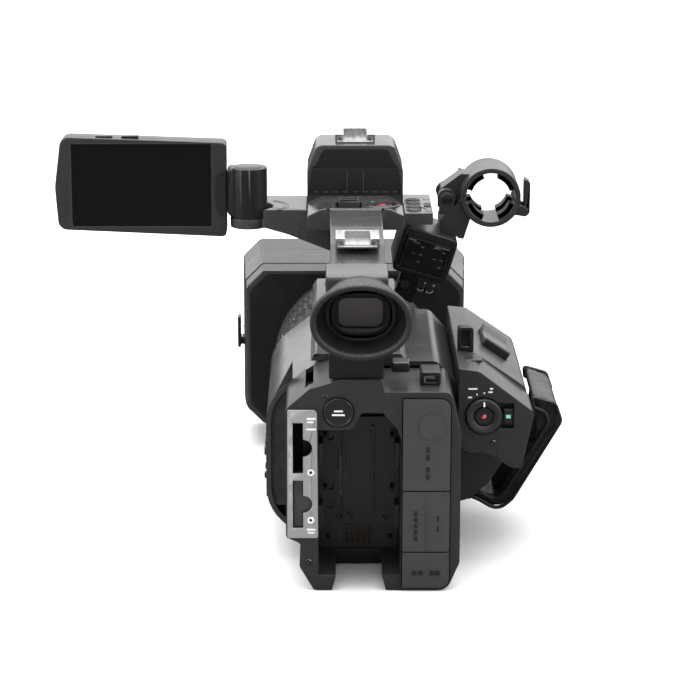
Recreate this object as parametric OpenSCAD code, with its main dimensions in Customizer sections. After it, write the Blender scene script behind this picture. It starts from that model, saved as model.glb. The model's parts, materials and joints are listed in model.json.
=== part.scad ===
// Hand-held camcorder with a top handle, swing-out screen, tilting eyepiece and shotgun microphone clamp.
// +Y is the way the lens looks, +X is the hand-grip side, +Z is up. The origin is the tripod socket's mouth.
// Lengths are laid out from the rear panel and then moved so that the socket is at the origin.

/* [Body] */
// Distance from the lens axis to the left edge of the rear panel
body_left = 35.5; // [34:0.5:40]
// Distance from the lens axis to the right edge of the rear panel
body_right = 49; // [47:0.5:56]
// Height of the rear panel
body_top = 106.5; // [105:0.5:112]
// Depth of the rear cover
rear_depth = 44; // [44:0.5:52]
// Distance from the rear panel to the front of the body
body_len = 150; // [142:1:165]
// Distance from the rear panel to the tripod socket
socket_y = 110; // [100:1:118]
// Thickness of the body shells
wall = 2.5; // [2:0.25:3]

/* [Battery bay] */
// Width of the battery bay
bay_w = 40; // [38:0.5:40]
// Depth of the battery bay
bay_depth = 40; // [34:0.5:40]
// Height of the bay's floor
bay_floor = 7.6; // [6:0.2:9]
// Height of the bay's ceiling
bay_top = 81.5; // [76:0.5:82]
// Travel of the battery release button
release_travel = 1.4; // [1:0.1:1.6]

/* [Lens] */
// Height of the lens axis
lens_z = 57; // [56:0.5:58]
// Outer radius of the lens barrel
barrel_r = 40; // [36:0.5:41]
// Wall of the lens barrel
barrel_wall = 4; // [3:0.5:6]
// Outer radius of the control rings
ring_r = 45.5; // [43:0.5:46]
// Distance from the body's front to the front of the barrel
barrel_out = 90; // [86:1:110]
// Width of the iris ring
iris_w = 12; // [10:1:14]
// Width of the zoom ring
zoom_w = 24; // [18:1:26]
// Width of the focus ring
focus_w = 34; // [26:1:36]

/* [Lens hood] */
// Half the width of the hood's front rim
hood_half_w = 65; // [60:0.5:70]
// Half the height of the hood's front rim
hood_half_h = 53.5; // [50:0.5:55]
// Length of the hood
hood_len = 48; // [46:1:60]

/* [Handle] */
// Height of the top of the hand bar
handle_top_z = 160; // [156:0.5:166]
// Thickness of the hand bar
bar_t = 23; // [20:0.5:24]
// Width of the hand bar
bar_w = 27; // [24:0.5:30]
// Width of the control deck at the handle's front
deck_w = 52; // [50:0.5:54]
// Opening of the accessory shoes
shoe_slot_w = 18.6; // [18:0.1:19]

/* [Screen] */
// Width of the screen panel
panel_w = 90.5; // [84:0.5:92]
// Height of the screen panel
panel_h = 54.5; // [48:0.5:60]
// Thickness of the screen panel
panel_t = 14; // [12:0.5:14]
// Width of the glass
glass_w = 75; // [66:0.5:76]
// Height of the glass
glass_h = 45; // [38:0.5:46]

/* [Eyepiece] */
// Width of the eyecup's rear rim
eyecup_w = 47.3; // [42:0.5:52]
// Height of the eyecup's rear rim
eyecup_h = 36.3; // [34:0.5:40]
// Distance from the rear panel back to the eyecup's rim
eyecup_back = 45; // [40:0.5:52]

/* [Microphone clamp] */
// Radius of the microphone that the clamp holds
mic_r = 10.5; // [9.5:0.25:11]
// Outer radius of the clamp
clamp_r = 16; // [15.5:0.25:18]
// Length of the clamp
clamp_len = 32; // [24:1:36]

/* [Hand grip] */
// Radius of the power dial
dial_r = 9; // [8:0.25:9.5]
// Width of the hand strap's pad
strap_w = 62; // [50:1:66]

/* [Hidden] */
$fn = 64;

gap = 0.3;               // between parts that move past each other
fit = 0.05;              // radial clearance of a pin in its bore
eps = 1;                 // how far a cut runs past a face
corner_steps = 5;        // straight pieces in a rounded corner of an outline

bay_left = -19.8;
bay_right = bay_left + bay_w;
plate_t = 3;
front_y = body_len + barrel_out;
bar_x = -0.5;
deck_z = 154.5;
deck_y = [body_len, body_len + 32];
block_y = [body_len + 32, body_len + 65];
block_top = 187;
bar_under = handle_top_z - bar_t;

// Eyepiece hinge
evf_hinge = [27, 138];   // y, z
evf_knuckle_r = 9.5;
evf_pin_r = 2.5;
evf_z = 146;
lug_t = 3;

// Screen hinge
swing = [-58, body_len + 27];   // x, y of the upright pin
swing_r = 10;
swing_pin_r = 3;
tilt_z = 163.5;
tilt_r = 4;
shaft_len = 7;
panel_right = swing[0] - 11.8;
panel_left = panel_right - panel_w;
panel_low = 139;
arm_low = 149.3;
arm_top = 176;

// Microphone clamp
mic_x = 72.3;
mic_z = 161;
mic_y = body_len + 17;
jaw_pin = [48.7, 160.1]; // x, z
jaw_pin_r = 2;
latch_pin = [mic_x + clamp_r + 3.2, 152];

// Sound input box
xlr_c = [37, 131];       // x, z of its middle
xlr_size = [30, 25];
xlr_y = [body_len + 10, body_len + 55];
xlr_turn = 17;
xlr_cover_top = 8;

// Grip
grip_y = [30, 62, body_len + 8];
dial_c = [61.6, 79.7];
slope_c = [71, 108, 96.25];
slope_turn = 33.7;
rocker_size = [15, 32];
lock_x = 72.6;

// Rear panel
release_c = [-10.1, 90.3];
release_r = 7.3;
cover_left = 21;
cover_right = 43.8;
recess_d = 1.8;
cover_out = 1.4;
slot_x = [-32.1, -27.1];
slot_a_z = [60, 85.4];
slot_b_z = [32.3, 56.5];
notch_r = 4.4;
cage = [[-33.6, -21.8], [0, 30], [29.5, 90]];

// Tripod socket: a quarter-inch thread in a bushing
socket_r = 3.175;
socket_len = 10;
bushing_r = 6;
boss_r = 11;
base_t = 3;

function unit(v) = v / norm(v);

// One corner [x, y, radius] of an outline, turned into an arc that touches both of its sides
function corner_arc(before, here, after) =
    let (p = [here[0], here[1]],
         u = unit([before[0] - here[0], before[1] - here[1]]),
         v = unit([after[0] - here[0], after[1] - here[1]]),
         half = acos(u * v) / 2,
         centre = p + unit(u + v) * here[2] / sin(half),
         from_p = p + u * here[2] / tan(half) - centre,
         to_p = p + v * here[2] / tan(half) - centre,
         a0 = atan2(from_p[1], from_p[0]),
         turn = atan2(from_p[0] * to_p[1] - from_p[1] * to_p[0], from_p * to_p))
    here[2] == 0 ? [p]
    : [for (i = [0:corner_steps]) centre + here[2] * [cos(a0 + turn * i / corner_steps),
                                                      sin(a0 + turn * i / corner_steps)]];

function rounded(corners) =
    let (n = len(corners))
    [for (i = [0:n - 1]) each corner_arc(corners[(i + n - 1) % n], corners[i], corners[(i + 1) % n])];

// The same anticlockwise outline moved inwards by a wall
function inset(corners, d) =
    let (n = len(corners))
    [for (i = [0:n - 1])
        let (before = corners[(i + n - 1) % n], here = corners[i], after = corners[(i + 1) % n],
             a = unit([here[0] - before[0], here[1] - before[1]]),
             b = unit([after[0] - here[0], after[1] - here[1]]),
             na = [-a[1], a[0]], nb = [-b[1], b[0]],
             p = [here[0], here[1]] + (na + nb) * d / (1 + na * nb))
        [p[0], p[1], max(0, here[2] - d)]];

function box_corners(x, z, r) = [[x[0], z[0], r], [x[1], z[0], r], [x[1], z[1], r], [x[0], z[1], r]];

module from_rear() translate([0, -socket_y, 0]) children();
module block(x, y, z) translate([x[0], y[0], z[0]]) cube([x[1] - x[0], y[1] - y[0], z[1] - z[0]]);
module along_y(y) translate([0, y[1], 0]) rotate([90, 0, 0]) linear_extrude(y[1] - y[0]) children();
module along_x(x) translate([x[0], 0, 0]) rotate([90, 0, 90]) linear_extrude(x[1] - x[0]) children();
module rod_y(c, y, r) translate([c[0], y[1], c[1]]) rotate([90, 0, 0]) cylinder(h = y[1] - y[0], r = r);
module rod_x(c, x, r) translate([x[0], c[0], c[1]]) rotate([0, 90, 0]) cylinder(h = x[1] - x[0], r = r);
module rod_z(c, z, r) translate([c[0], c[1], z[0]]) cylinder(h = z[1] - z[0], r = r);
module plate_y(corners, y) along_y(y) polygon(rounded(corners));

// ---- Rear panel ----

rear_outline = [[-22, 0, 2], [body_right - 6, 0, 6], [body_right, 14, 5], [body_right, 80, 8],
    [body_right - 5, body_top - 6, 4], [12, body_top - 6, 0], [10.8, body_top, 1.5],
    [-9, body_top, 3], [-24, 102, 5], [-body_left, 92, 5], [-body_left, 27, 2], [-28.5, 24, 2], [-29, 12, 4]];
bay_outline = [[bay_left, bay_floor, 0.6], [bay_right, bay_floor, 0.6], [bay_right, bay_top - 5, 0],
    [bay_right - 2, bay_top + 0.8, 2], [11.2, bay_top + 8.5, 1.5], [1.2, bay_top + 8.5, 1.5],
    [-3.6, bay_top, 0.5], [bay_left, bay_top, 0.6]];
cover_r = [0.6, 4.5];
recess_outline = [[cover_left - gap, 1.2, cover_r[0] + gap], [cover_right + gap, 1.2, cover_r[1] + gap],
    [cover_right + gap, 97.3, cover_r[1] + gap], [cover_left - gap, 97.3, cover_r[0] + gap]];
latch_size = [[2, 10], [bay_depth - 6, bay_depth - gap], [bay_top + 0.7, bay_top + 8.8]];

module notched_slot(z, y) {
    block(slot_x, y, z);
    rod_y([slot_x[1], (z[0] + z[1]) / 2], [y[0], y[0] + 9], notch_r);
}

module rear_cover() color("#3b3b3d") from_rear() difference() {
    plate_y(rear_outline, [0, rear_depth]);
    plate_y(bay_outline, [-eps, bay_depth + plate_t]);
    along_y([-eps, bay_depth - 2]) polygon([[-13.3, -eps], [13.3, -eps], [11, bay_floor + eps],
                                            [-11, bay_floor + eps]]);
    block(cage[0], [-eps, cage[1][1]], cage[2]);
    block([bay_right + 3, body_right - 3], [18, rear_depth + eps], [8, 92]);
    block([-26, 8], [9, rear_depth + eps], [bay_top + 12, body_top - 4]);
    rod_y(release_c, [-eps, 6.5], release_r + gap);
    plate_y(recess_outline, [-eps, recess_d]);
    block([25, 40], [0, 16], [54, 92]);
    block([25, 40], [0, 16], [24, 47]);
    rod_y([33, 10.5], [0, 16], 5.4);
    block([latch_size[0][0] - gap, latch_size[0][1] + gap],
          [latch_size[1][0] - gap, latch_size[1][1] + gap], [bay_top + 8, bay_top + 10.8]);
}

module battery_plate() color("#2c2c2e") from_rear() difference() {
    union() {
        block([bay_left, bay_right], [bay_depth, bay_depth + plate_t], [bay_floor, bay_top - 5]);
        for (x = [-8, 6.5]) block([x, x + 1.5], [bay_depth - 1, bay_depth], [26, 72]);
        for (x = [bay_left, bay_right - 2.2], z = [22, 54])
            block([x, x + 2.2], [bay_depth - 11, bay_depth], [z, z + 12]);
        block([-7, 7], [bay_depth - 0.8, bay_depth], [10, 20]);
    }
    block([-11.5, -9.5], [bay_depth - 0.6, bay_depth + 0.6], [50, 60]);
    for (z = [30, 40, 66]) rod_y([-14, z], [bay_depth - eps, bay_depth + 1.2], 1.6);
}

module battery_terminals() color("#c8a96a") from_rear()
    for (i = [-2:2]) block([i * 2.6 - 0.6, i * 2.6 + 0.6], [bay_depth - 2.4, bay_depth - 0.8], [11.5, 18.5]);

module battery_latch() color("#7b7b7d") from_rear()
    along_x(latch_size[0]) polygon([[latch_size[1][1], latch_size[2][0]], [latch_size[1][1], latch_size[2][1]],
        [latch_size[1][0], latch_size[2][1]], [latch_size[1][0], latch_size[2][0] + 3]]);

module battery_release_button() color("#333335") from_rear() difference() {
    rod_y(release_c, [-1.2, 4.3], release_r);
    rod_y(release_c, [-1.2 - eps, -0.8], release_r - 1.2);
}

module card_slot_plate() color("#b9babb") from_rear() difference() {
    plate_y([[-34.8, 27.2, 1], [-19.9, 27.2, 1], [-20.4, 91.8, 2], [-34.6, 91.8, 1]], [-1.4, 0]);
    notched_slot(slot_a_z, [-eps - 1.4, eps]);
    notched_slot(slot_b_z, [-eps - 1.4, eps]);
}

module card_slots() color("#161617") from_rear() difference() {
    block(cage[0], cage[1], cage[2]);
    notched_slot(slot_a_z, [-eps, 26]);
    notched_slot(slot_b_z, [-eps, 26]);
}

module slot_shutter() color("#6e6e70") from_rear()
    block([slot_x[0] + 0.5, slot_x[1] - gap], [0.4, 1.2], [slot_b_z[0] + gap, slot_b_z[1] - gap]);

module jack_cover(z, low_r, high_r)
    plate_y([[cover_left, z[0], cover_r[0]], [cover_right, z[0], low_r], [cover_right, z[1], high_r],
             [cover_left, z[1], cover_r[0]]], [-cover_out, recess_d - gap]);

module av_cover() color("#4a4a4c") from_rear() {
    jack_cover([51.3, 97], cover_r[0], cover_r[1]);
    rod_y([34.8, 83.4], [-cover_out - 0.6, -cover_out], 6.4);
}

module hdmi_cover() color("#4a4a4c") from_rear() {
    jack_cover([20.2, 50.7], cover_r[0], cover_r[0]);
    block([32.4, 33], [-cover_out - 0.4, -cover_out], [21, 50]);
}

module dc_cover() color("#4a4a4c") from_rear() jack_cover([1.5, 19.6], cover_r[1], cover_r[0]);

module jacks() color("#9b9b9d") from_rear() {
    for (z = [61, 73, 85]) difference() {
        rod_y([32.5, z], [6, 16], 4.6);
        rod_y([32.5, z], [5, 14], z > 80 ? 3.2 : 1.8);
    }
    difference() {
        block([26, 39.5], [8, 16], [37, 43]);
        block([27, 38.5], [7, 15], [38, 42]);
    }
    difference() {
        block([28, 37], [8, 16], [27, 31.4]);
        block([28.8, 36.2], [7, 15], [27.8, 30.6]);
    }
    difference() {
        rod_y([33, 10.5], [7, 16], 5);
        rod_y([33, 10.5], [6, 15], 2.8);
    }
    rod_y([33, 10.5], [8.5, 15.5], 0.9);
}

module strap_hooks() color("#39393b") from_rear() {
    difference() {
        plate_y(box_corners([29.6, 39.4], [body_top - 6, body_top + 0.5], 1.2), [12, 27]);
        plate_y(box_corners([31.4, 37.6], [body_top - 4.6, body_top - 1.3], 0.8), [11, 28]);
    }
    difference() {
        plate_y(box_corners([50, 58], [102.6, 116], 1.6), [64, 70]);
        plate_y(box_corners([52, 56], [106, 114], 1), [63, 71]);
        plate_y(palm_outline, [63, 71]);
    }
}

// ---- Body shells ----

mid_outline = [[-20, base_t, 8], [body_right - 6, base_t, 4], [body_right, 12, 4], [body_right, 92, 8],
    [body_right - 10, 104, 6], [-20, 104, 20], [-46, 84, 24], [-46, 28, 24]];

module body_shell() difference() {
    plate_y(mid_outline, [rear_depth, body_len]);
    plate_y(inset(mid_outline, wall), [rear_depth - eps, body_len - wall]);
    rod_y([0, lens_z], [body_len - wall - eps, body_len + eps], barrel_r);
    rod_z([0, socket_y], [0, socket_len + 6], boss_r);
    for (i = [0:2]) translate([-45.5, 76 + 9 * i, 72 + 2.5 * i]) rotate([-32, 0, 0]) cube([14, 3, 13], center = true);
}

module left_cover() color("#8d8d8f") from_rear() intersection() {
    body_shell();
    block([-60, 0], [0, body_len + eps], [0, 120]);
}

module right_cover() color("#3f3f41") from_rear() intersection() {
    body_shell();
    block([0, 60], [0, body_len + eps], [0, 120]);
}

module base_plate() color("#333335") from_rear() difference() {
    union() {
        plate_y([[-20, 0, 1], [body_right - 7, 0, 1], [body_right - 6, base_t, 0], [-20, base_t, 0]],
                [rear_depth, body_len - 4]);
        rod_z([0, socket_y], [0, socket_len + 2], boss_r);
    }
    rod_z([0, socket_y], [-eps, socket_len], bushing_r);
}

module tripod_socket() color("#a9a9ab") from_rear() difference() {
    rod_z([0, socket_y], [0, socket_len], bushing_r);
    rod_z([0, socket_y], [-eps, socket_len + eps], socket_r);
}

module main_board() color("#1d5a3a") from_rear() {
    block([-26, 30], [rear_depth + 8, rear_depth + 9.6], [16, 84]);
    for (p = [[-23, 30], [-23, 80], [21.6, 20], [21.6, 80]])
        rod_y(p, [rear_depth, rear_depth + 8], 1.4);
    for (z = [24, 50]) block([-18, 6], [rear_depth + 9.6, rear_depth + 12], [z, z + 18]);
}

module sensor_block() color("#4d4d50") from_rear() {
    block([-20, 20], [body_len - 46, body_len - 38], [lens_z - 18, lens_z + 18]);
    rod_y([0, lens_z], [body_len - 38, body_len - 32], 16);
}

module top_cover() color("#5b5b5d") from_rear()
    plate_y([[-24, 104, 0], [24, 104, 0], [21, 108, 1.5], [-21, 108, 1.5]], [rear_depth, body_len + 54]);

// ---- Lens ----

bore_r = barrel_r - barrel_wall;
iris_y = body_len + 2 + gap;
zoom_y = iris_y + iris_w + gap + 3 + gap;
focus_y = zoom_y + zoom_w + gap + 3 + gap;

module tube_y(y, outer, inner) difference() {
    rod_y([0, lens_z], y, outer);
    rod_y([0, lens_z], [y[0] - eps, y[1] + eps], inner);
}

module lens_barrel() color("#29292b") from_rear() difference() {
    union() {
        rod_y([0, lens_z], [body_len - 32, front_y], barrel_r);
        rod_y([0, lens_z], [body_len, iris_y - gap], ring_r - 0.7);
        rod_y([0, lens_z], [iris_y + iris_w + gap, zoom_y - gap], ring_r - 0.7);
        rod_y([0, lens_z], [zoom_y + zoom_w + gap, focus_y - gap], ring_r - 0.7);
        rod_y([0, lens_z], [focus_y + focus_w + gap, front_y], ring_r - 1);
    }
    rod_y([0, lens_z], [body_len - 29, front_y + eps], bore_r);
    rod_y([0, lens_z], [body_len - 33, front_y], 13);
}

module front_lens() color("#5a6f8a") from_rear() {
    rod_y([0, lens_z], [front_y - 9, front_y - 5], bore_r);
    translate([0, front_y - 5, lens_z]) rotate([-90, 0, 0])
        rotate_extrude() polygon([[0, 0], [bore_r - 1, 0], for (a = [10:10:90])
            [(bore_r - 1) * cos(a), 4 * sin(a)]]);
}

module control_ring(y, w) tube_y([y, y + w], ring_r, barrel_r + gap);

module iris_ring() color("#2a2a2c") from_rear() control_ring(iris_y, iris_w);
module zoom_ring() color("#2a2a2c") from_rear() control_ring(zoom_y, zoom_w);
module focus_ring() color("#2a2a2c") from_rear() control_ring(focus_y, focus_w);

// ---- Lens hood and its shutter ----

hood_z = lens_z + 1.5;
hood_y = [front_y, front_y + hood_len];
hood_back_w = hood_half_w - 3;
hood_back_h = hood_half_h - 8;
hood_wall = 2.2;
blade_h = hood_half_h - 14.5;
blade_t = 1.6;
blade_y = hood_y[1] - 5;
blade_half_w = hood_half_w - 13.5;
lever_c = [hood_y[0] + 20, hood_z];

module hood_ring(w, h, y, cut) plate_y([[-w, hood_z - h + cut, 4], [-w + cut, hood_z - h, 4],
    [w - cut, hood_z - h, 4], [w, hood_z - h + cut, 4], [w, hood_z + h - cut, 4],
    [w - cut, hood_z + h, 4], [-w + cut, hood_z + h, 4], [-w, hood_z + h - cut, 4]], [y, y + 0.4]);

module hood_form(d) hull() {
    hood_ring(hood_back_w - d, hood_back_h - d, hood_y[0] + (d > 0 ? hood_wall : 0), 10);
    hood_ring(hood_half_w - d, hood_half_h - d, hood_y[1] - 0.4 + (d > 0 ? 0.5 : 0), 10);
}

module lens_hood() color("#323234") from_rear() difference() {
    hood_form(0);
    hood_form(hood_wall);
    rod_y([0, lens_z], [hood_y[0] - eps, hood_y[0] + 4], bore_r);
    rod_x(lever_c, [-hood_half_w - eps, -hood_half_w + 8], 3.3);
}

module shutter_blade(side) {
    pivot_z = hood_z + side * (blade_h + blade_t / 2);
    block([-blade_half_w, blade_half_w], [blade_y - blade_h - blade_t / 2 + gap, blade_y + blade_t / 2],
          [pivot_z - blade_t / 2, pivot_z + blade_t / 2]);
    rod_x([blade_y, pivot_z], [-blade_half_w - 9, blade_half_w + 9], blade_t / 2);
}

module shutter_upper() color("#1f1f21") from_rear() shutter_blade(1);
module shutter_lower() color("#1f1f21") from_rear() shutter_blade(-1);

module shutter_lever() color("#3a3a3c") from_rear() {
    rod_x(lever_c, [-hood_half_w - 0.8, -hood_half_w + 6], 3);
    block([-hood_half_w - 2.6, -hood_half_w - 0.8], [lever_c[0] - 4, lever_c[0] + 4],
          [lever_c[1] - 4, lever_c[1] + 14]);
}

// ---- Handle ----

rear_leg_y = [38.3, 54];
front_leg_w = 30;
split_z = 147;

module bar_profile() polygon(rounded([[rear_leg_y[0], body_top, 0], [rear_leg_y[1] + 4, body_top, 0],
    [rear_leg_y[1], bar_under, 9], [body_len - 14, bar_under, 12], [body_len - 4, 108, 0],
    [block_y[1] - 12, 108, 0], [block_y[1] - 6, split_z, 0], [rear_leg_y[0], split_z, 0]]));

module handle_frame() color("#3a3a3c") from_rear() difference() {
    along_x([bar_x - bar_w / 2, bar_x + bar_w / 2]) bar_profile();
    block([-40, 40], [rear_leg_y[0] - eps, rear_depth], [body_top - eps, body_top]);
    block([-40, 40], [rear_depth, body_len], [body_top - 1, 108]);
}

module top_profile() polygon(rounded([[rear_leg_y[0], split_z, 0], [block_y[0], split_z, 0],
    [block_y[0], handle_top_z - 4, 0], [body_len - 10, handle_top_z - 1, 30], [100, handle_top_z, 60],
    [66, handle_top_z - 1.5, 30], [rear_leg_y[0] + 2, handle_top_z - 9, 5]]));

module handle_top() color("#7a7a7c") from_rear() {
    difference() {
        union() {
            along_x([bar_x - bar_w / 2, bar_x + bar_w / 2]) top_profile();
            plate_y([[bar_x - deck_w / 2, split_z, 0], [bar_x + deck_w / 2, split_z, 0],
                     [bar_x + deck_w / 2, deck_z, 2], [bar_x + deck_w / 2 - 8, handle_top_z - 1.5, 6],
                     [bar_x - deck_w / 2 + 8, handle_top_z - 1.5, 6], [bar_x - deck_w / 2, deck_z, 2]], deck_y);
        }
        block([-10.5, 2.5], [deck_y[0] + 1, deck_y[0] + 17], [deck_z + 0.5, handle_top_z + eps]);
        rod_z([14, deck_y[0] + 11], [deck_z, handle_top_z + eps], 5.4);
    }
    plate_y([[bar_x - deck_w / 2, split_z, 0], [bar_x + deck_w / 2, split_z, 0],
             [bar_x + deck_w / 2, block_top - 14, 4], [bar_x + deck_w / 2 - 5, block_top, 5],
             [bar_x - deck_w / 2 + 5, block_top, 5], [bar_x - deck_w / 2, block_top - 14, 4]], block_y);
    difference() {
        block([bar_x + deck_w / 2, 41], [deck_y[0] + 9, block_y[1] - 5], [split_z + 1, deck_z]);
        for (i = [0:3]) rod_z([31, deck_y[0] + 16 + 9 * i], [deck_z - 3, deck_z + eps], 3.6);
        xlr_tilt() block([-xlr_size[0] / 2, xlr_size[0] / 2], xlr_y, [-20, xlr_size[1] / 2]);
    }
}

module shoe(y, z) {
    w = shoe_slot_w + 3;
    difference() {
        block([bar_x - w / 2, bar_x + w / 2], [y, y + 20], [z, z + 5]);
        block([bar_x - shoe_slot_w / 2, bar_x + shoe_slot_w / 2], [y - eps, y + 18], [z + 1.2, z + 3.3]);
        block([bar_x - 6.3, bar_x + 6.3], [y - eps, y + 18], [z + 3.3 - eps, z + 5 + eps]);
    }
}

module accessory_shoes() color("#c4c4c6") from_rear() {
    difference() {
        shoe(54, handle_top_z - 1.2);
        along_x([-deck_w, deck_w]) top_profile();
    }
    shoe(block_y[0] + 6, block_top);
}

module handle_zoom_lever() color("#2e2e30") from_rear() along_x([-9.6, 1.6]) polygon([
    [deck_y[0] + 3, handle_top_z - 3], [deck_y[0] + 15, handle_top_z - 3], [deck_y[0] + 15, handle_top_z + 2],
    [deck_y[0] + 11, handle_top_z + 0.6], [deck_y[0] + 7, handle_top_z + 0.6], [deck_y[0] + 3, handle_top_z + 2]]);

module handle_record_button() color("#b3343a") from_rear()
    rod_z([14, deck_y[0] + 11], [deck_z + 1.8, handle_top_z - 1], 5);

module function_button(i) color("#2e2e30") from_rear()
    rod_z([31, deck_y[0] + 16 + 9 * i], [deck_z - 1.8, deck_z + 0.8], 3.3);

module function_button_1() function_button(0);
module function_button_2() function_button(1);
module function_button_3() function_button(2);
module function_button_4() function_button(3);

// ---- Screen ----

module lcd_base() color("#5b5b5d") from_rear() {
    difference() {
        union() {
            plate_y([[bar_x - deck_w / 2 - 24, 145, 1], [bar_x - deck_w / 2 - 10, 141, 4],
                     [bar_x - bar_w / 2, 132, 0], [bar_x - bar_w / 2, split_z, 0],
                     [bar_x - deck_w / 2, split_z, 0], [bar_x - deck_w / 2, deck_z + 0.3, 0],
                     [bar_x - deck_w / 2 - 24, deck_z + 0.3, 2]], [swing[1] - 10.7, xlr_y[1]]);
            rod_z(swing, [143.5, arm_low - gap], swing_r);
        }
        rod_z(swing, [arm_low - gap, deck_z + 20], swing_r + 3.2);
    }
    rod_z(swing, [arm_low - gap - 1, arm_top - 4], swing_pin_r);
}

module lcd_swivel() color("#2b2b2d") from_rear() difference() {
    union() {
        rod_z(swing, [arm_low, arm_top], swing_r);
        plate_y([[panel_right + gap, arm_low + 1, 4], [swing[0], arm_low, 0], [swing[0], arm_top, 0],
                 [panel_right + gap, arm_top, 2]], [swing[1] - 7, swing[1] + 7]);
        rod_x([swing[1], tilt_z], [panel_right - shaft_len, panel_right + 1], tilt_r);
    }
    rod_z(swing, [arm_low - eps, arm_top - 3.6], swing_pin_r + fit);
}

panel_mid = panel_low + panel_h / 2;
panel_y = [swing[1] - panel_t / 2, swing[1] + panel_t / 2];
glass_x = [panel_left + 7.5, panel_left + 7.5 + glass_w];
glass_z = [panel_mid - glass_h / 2 + 1, panel_mid + glass_h / 2 + 1];
bezel_t = 4;

module panel_outline() polygon(rounded([[panel_left, panel_low + 4, 5], [panel_right, panel_low, 2.5],
    [panel_right, panel_low + panel_h - 3, 2.5], [panel_left + 2, panel_low + panel_h, 5],
    [panel_left - 1.6, panel_mid, 30]]));

module lcd_bezel() color("#242426") from_rear() difference() {
    along_y([panel_y[0], panel_y[0] + bezel_t]) panel_outline();
    block(glass_x, [panel_y[0] - eps, panel_y[0] + bezel_t + eps], glass_z);
    rod_x([swing[1], tilt_z], [panel_right - shaft_len - gap, panel_right + eps], tilt_r + fit);
}

module lcd_back_cover() color("#2f2f31") from_rear() difference() {
    along_y([panel_y[0] + bezel_t, panel_y[1]]) panel_outline();
    block([panel_left + 4, panel_right - 14], [panel_y[0] + bezel_t + 3, panel_y[1] - 2.2],
          [panel_low + 6, panel_low + panel_h - 6]);
    rod_x([swing[1], tilt_z], [panel_right - shaft_len - gap, panel_right + eps], tilt_r + fit);
}

module lcd_glass() color("#0b0b0c") from_rear()
    block(glass_x, [panel_y[0] + 0.6, panel_y[0] + bezel_t], glass_z);

// ---- Eyepiece ----

lug_x = [-14.7, 11.6];

module evf_support() color("#2a2a2c") from_rear() difference() {
    union() {
        plate_y(box_corners(lug_x, [body_top, 127.5], 0), [2, 37.5]);
        for (x = [lug_x[0], lug_x[1] - lug_t]) along_x([x, x + lug_t]) polygon(rounded([[evf_hinge[0] - 8, 127, 0],
            [evf_hinge[0] + 8, 127, 0], [evf_hinge[0] + 8, evf_hinge[1] + 8, 7], [evf_hinge[0] - 8, evf_hinge[1] + 8, 7]]));
    }
    rod_x(evf_hinge, [lug_x[0] - eps, lug_x[1] + eps], evf_pin_r);
    rod_x(evf_hinge, [lug_x[0] + lug_t, lug_x[1] - lug_t], evf_knuckle_r + 1.2);
}

module evf_pin() color("#a9a9ab") from_rear() rod_x(evf_hinge, lug_x, evf_pin_r);

evf_mid_x = (lug_x[0] + lug_x[1]) / 2;

module evf_housing() color("#6a6a6c") from_rear() difference() {
    union() {
        rod_x(evf_hinge, [lug_x[0] + lug_t + gap, lug_x[1] - lug_t - gap], evf_knuckle_r);
        along_x([lug_x[0] + lug_t + gap, lug_x[1] - lug_t - gap]) polygon([[evf_hinge[0], 128.6],
            [evf_hinge[0], evf_hinge[1] + evf_knuckle_r], [10, evf_z + 15], [10, 128.6]]);
        along_x([lug_x[0] - 1.5, lug_x[1] + 1.5]) polygon(rounded([[-22, 128.6, 3], [14, 128.6, 1],
            [14, evf_z + 13, 4], [8, evf_z + 16, 6], [-22, evf_z + 17, 3]]));
    }
    rod_x(evf_hinge, [lug_x[0], lug_x[1]], evf_pin_r + fit);
    block([lug_x[0] + 2, lug_x[1] - 2], [-12, 9], [132, evf_z + 12]);
    block([-9.5, 8], [-23, -11], [evf_z - 7.5, evf_z + 7.5]);
}

module evf_lens() color("#5a6f8a") from_rear() block([-9.5, 8], [-17, -12.5], [evf_z - 7.5, evf_z + 7.5]);

module oval_y(w, h, y) translate([bar_x + 0.6, y, evf_z]) rotate([-90, 0, 0]) scale([w / 2, h / 2, 1])
    cylinder(h = 0.5, r = 1, $fn = 40);

module eyecup() color("#1d1d1f") from_rear() difference() {
    hull() {
        oval_y(eyecup_w, eyecup_h, -eyecup_back);
        oval_y(eyecup_w, eyecup_h, -eyecup_back + 6);
        oval_y(36, 34.6, -22.5);
    }
    hull() {
        oval_y(eyecup_w - 6.6, eyecup_h - 6.6, -eyecup_back - 0.5);
        oval_y(28, 26, -23.5);
    }
    block([-9.5, 8], [-26, -20], [evf_z - 7.5, evf_z + 7.5]);
}

// ---- Sound inputs ----

module xlr_tilt() translate([xlr_c[0], 0, xlr_c[1]]) rotate([0, xlr_turn, 0]) children();

module xlr_box() color("#262628") from_rear() xlr_tilt() difference() {
    plate_y(box_corners([-xlr_size[0] / 2, xlr_size[0] / 2], [-xlr_size[1] / 2, xlr_size[1] / 2], 2.5), xlr_y);
    for (x = [-7.4, 7.4]) rod_y([x, 0], [xlr_y[1] - 16, xlr_y[1] + eps], 7);
    block([-xlr_size[0] / 2 + 2.5, xlr_size[0] / 2 - 2.5], [xlr_y[0] - eps, xlr_y[0] + 3],
          [-xlr_size[1] / 2 + 3, xlr_size[1] / 2 - 5]);
}

module xlr_sockets() color("#8f8f91") from_rear() xlr_tilt() for (x = [-7.4, 7.4]) {
    difference() {
        rod_y([x, 0], [xlr_y[1] - 16, xlr_y[1]], 7);
        rod_y([x, 0], [xlr_y[1] - 14, xlr_y[1] + eps], 6);
    }
    for (a = [90, 210, 330]) rod_y([x + 3 * cos(a), 3 * sin(a)], [xlr_y[1] - 14, xlr_y[1] - 3], 0.8);
}

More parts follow.
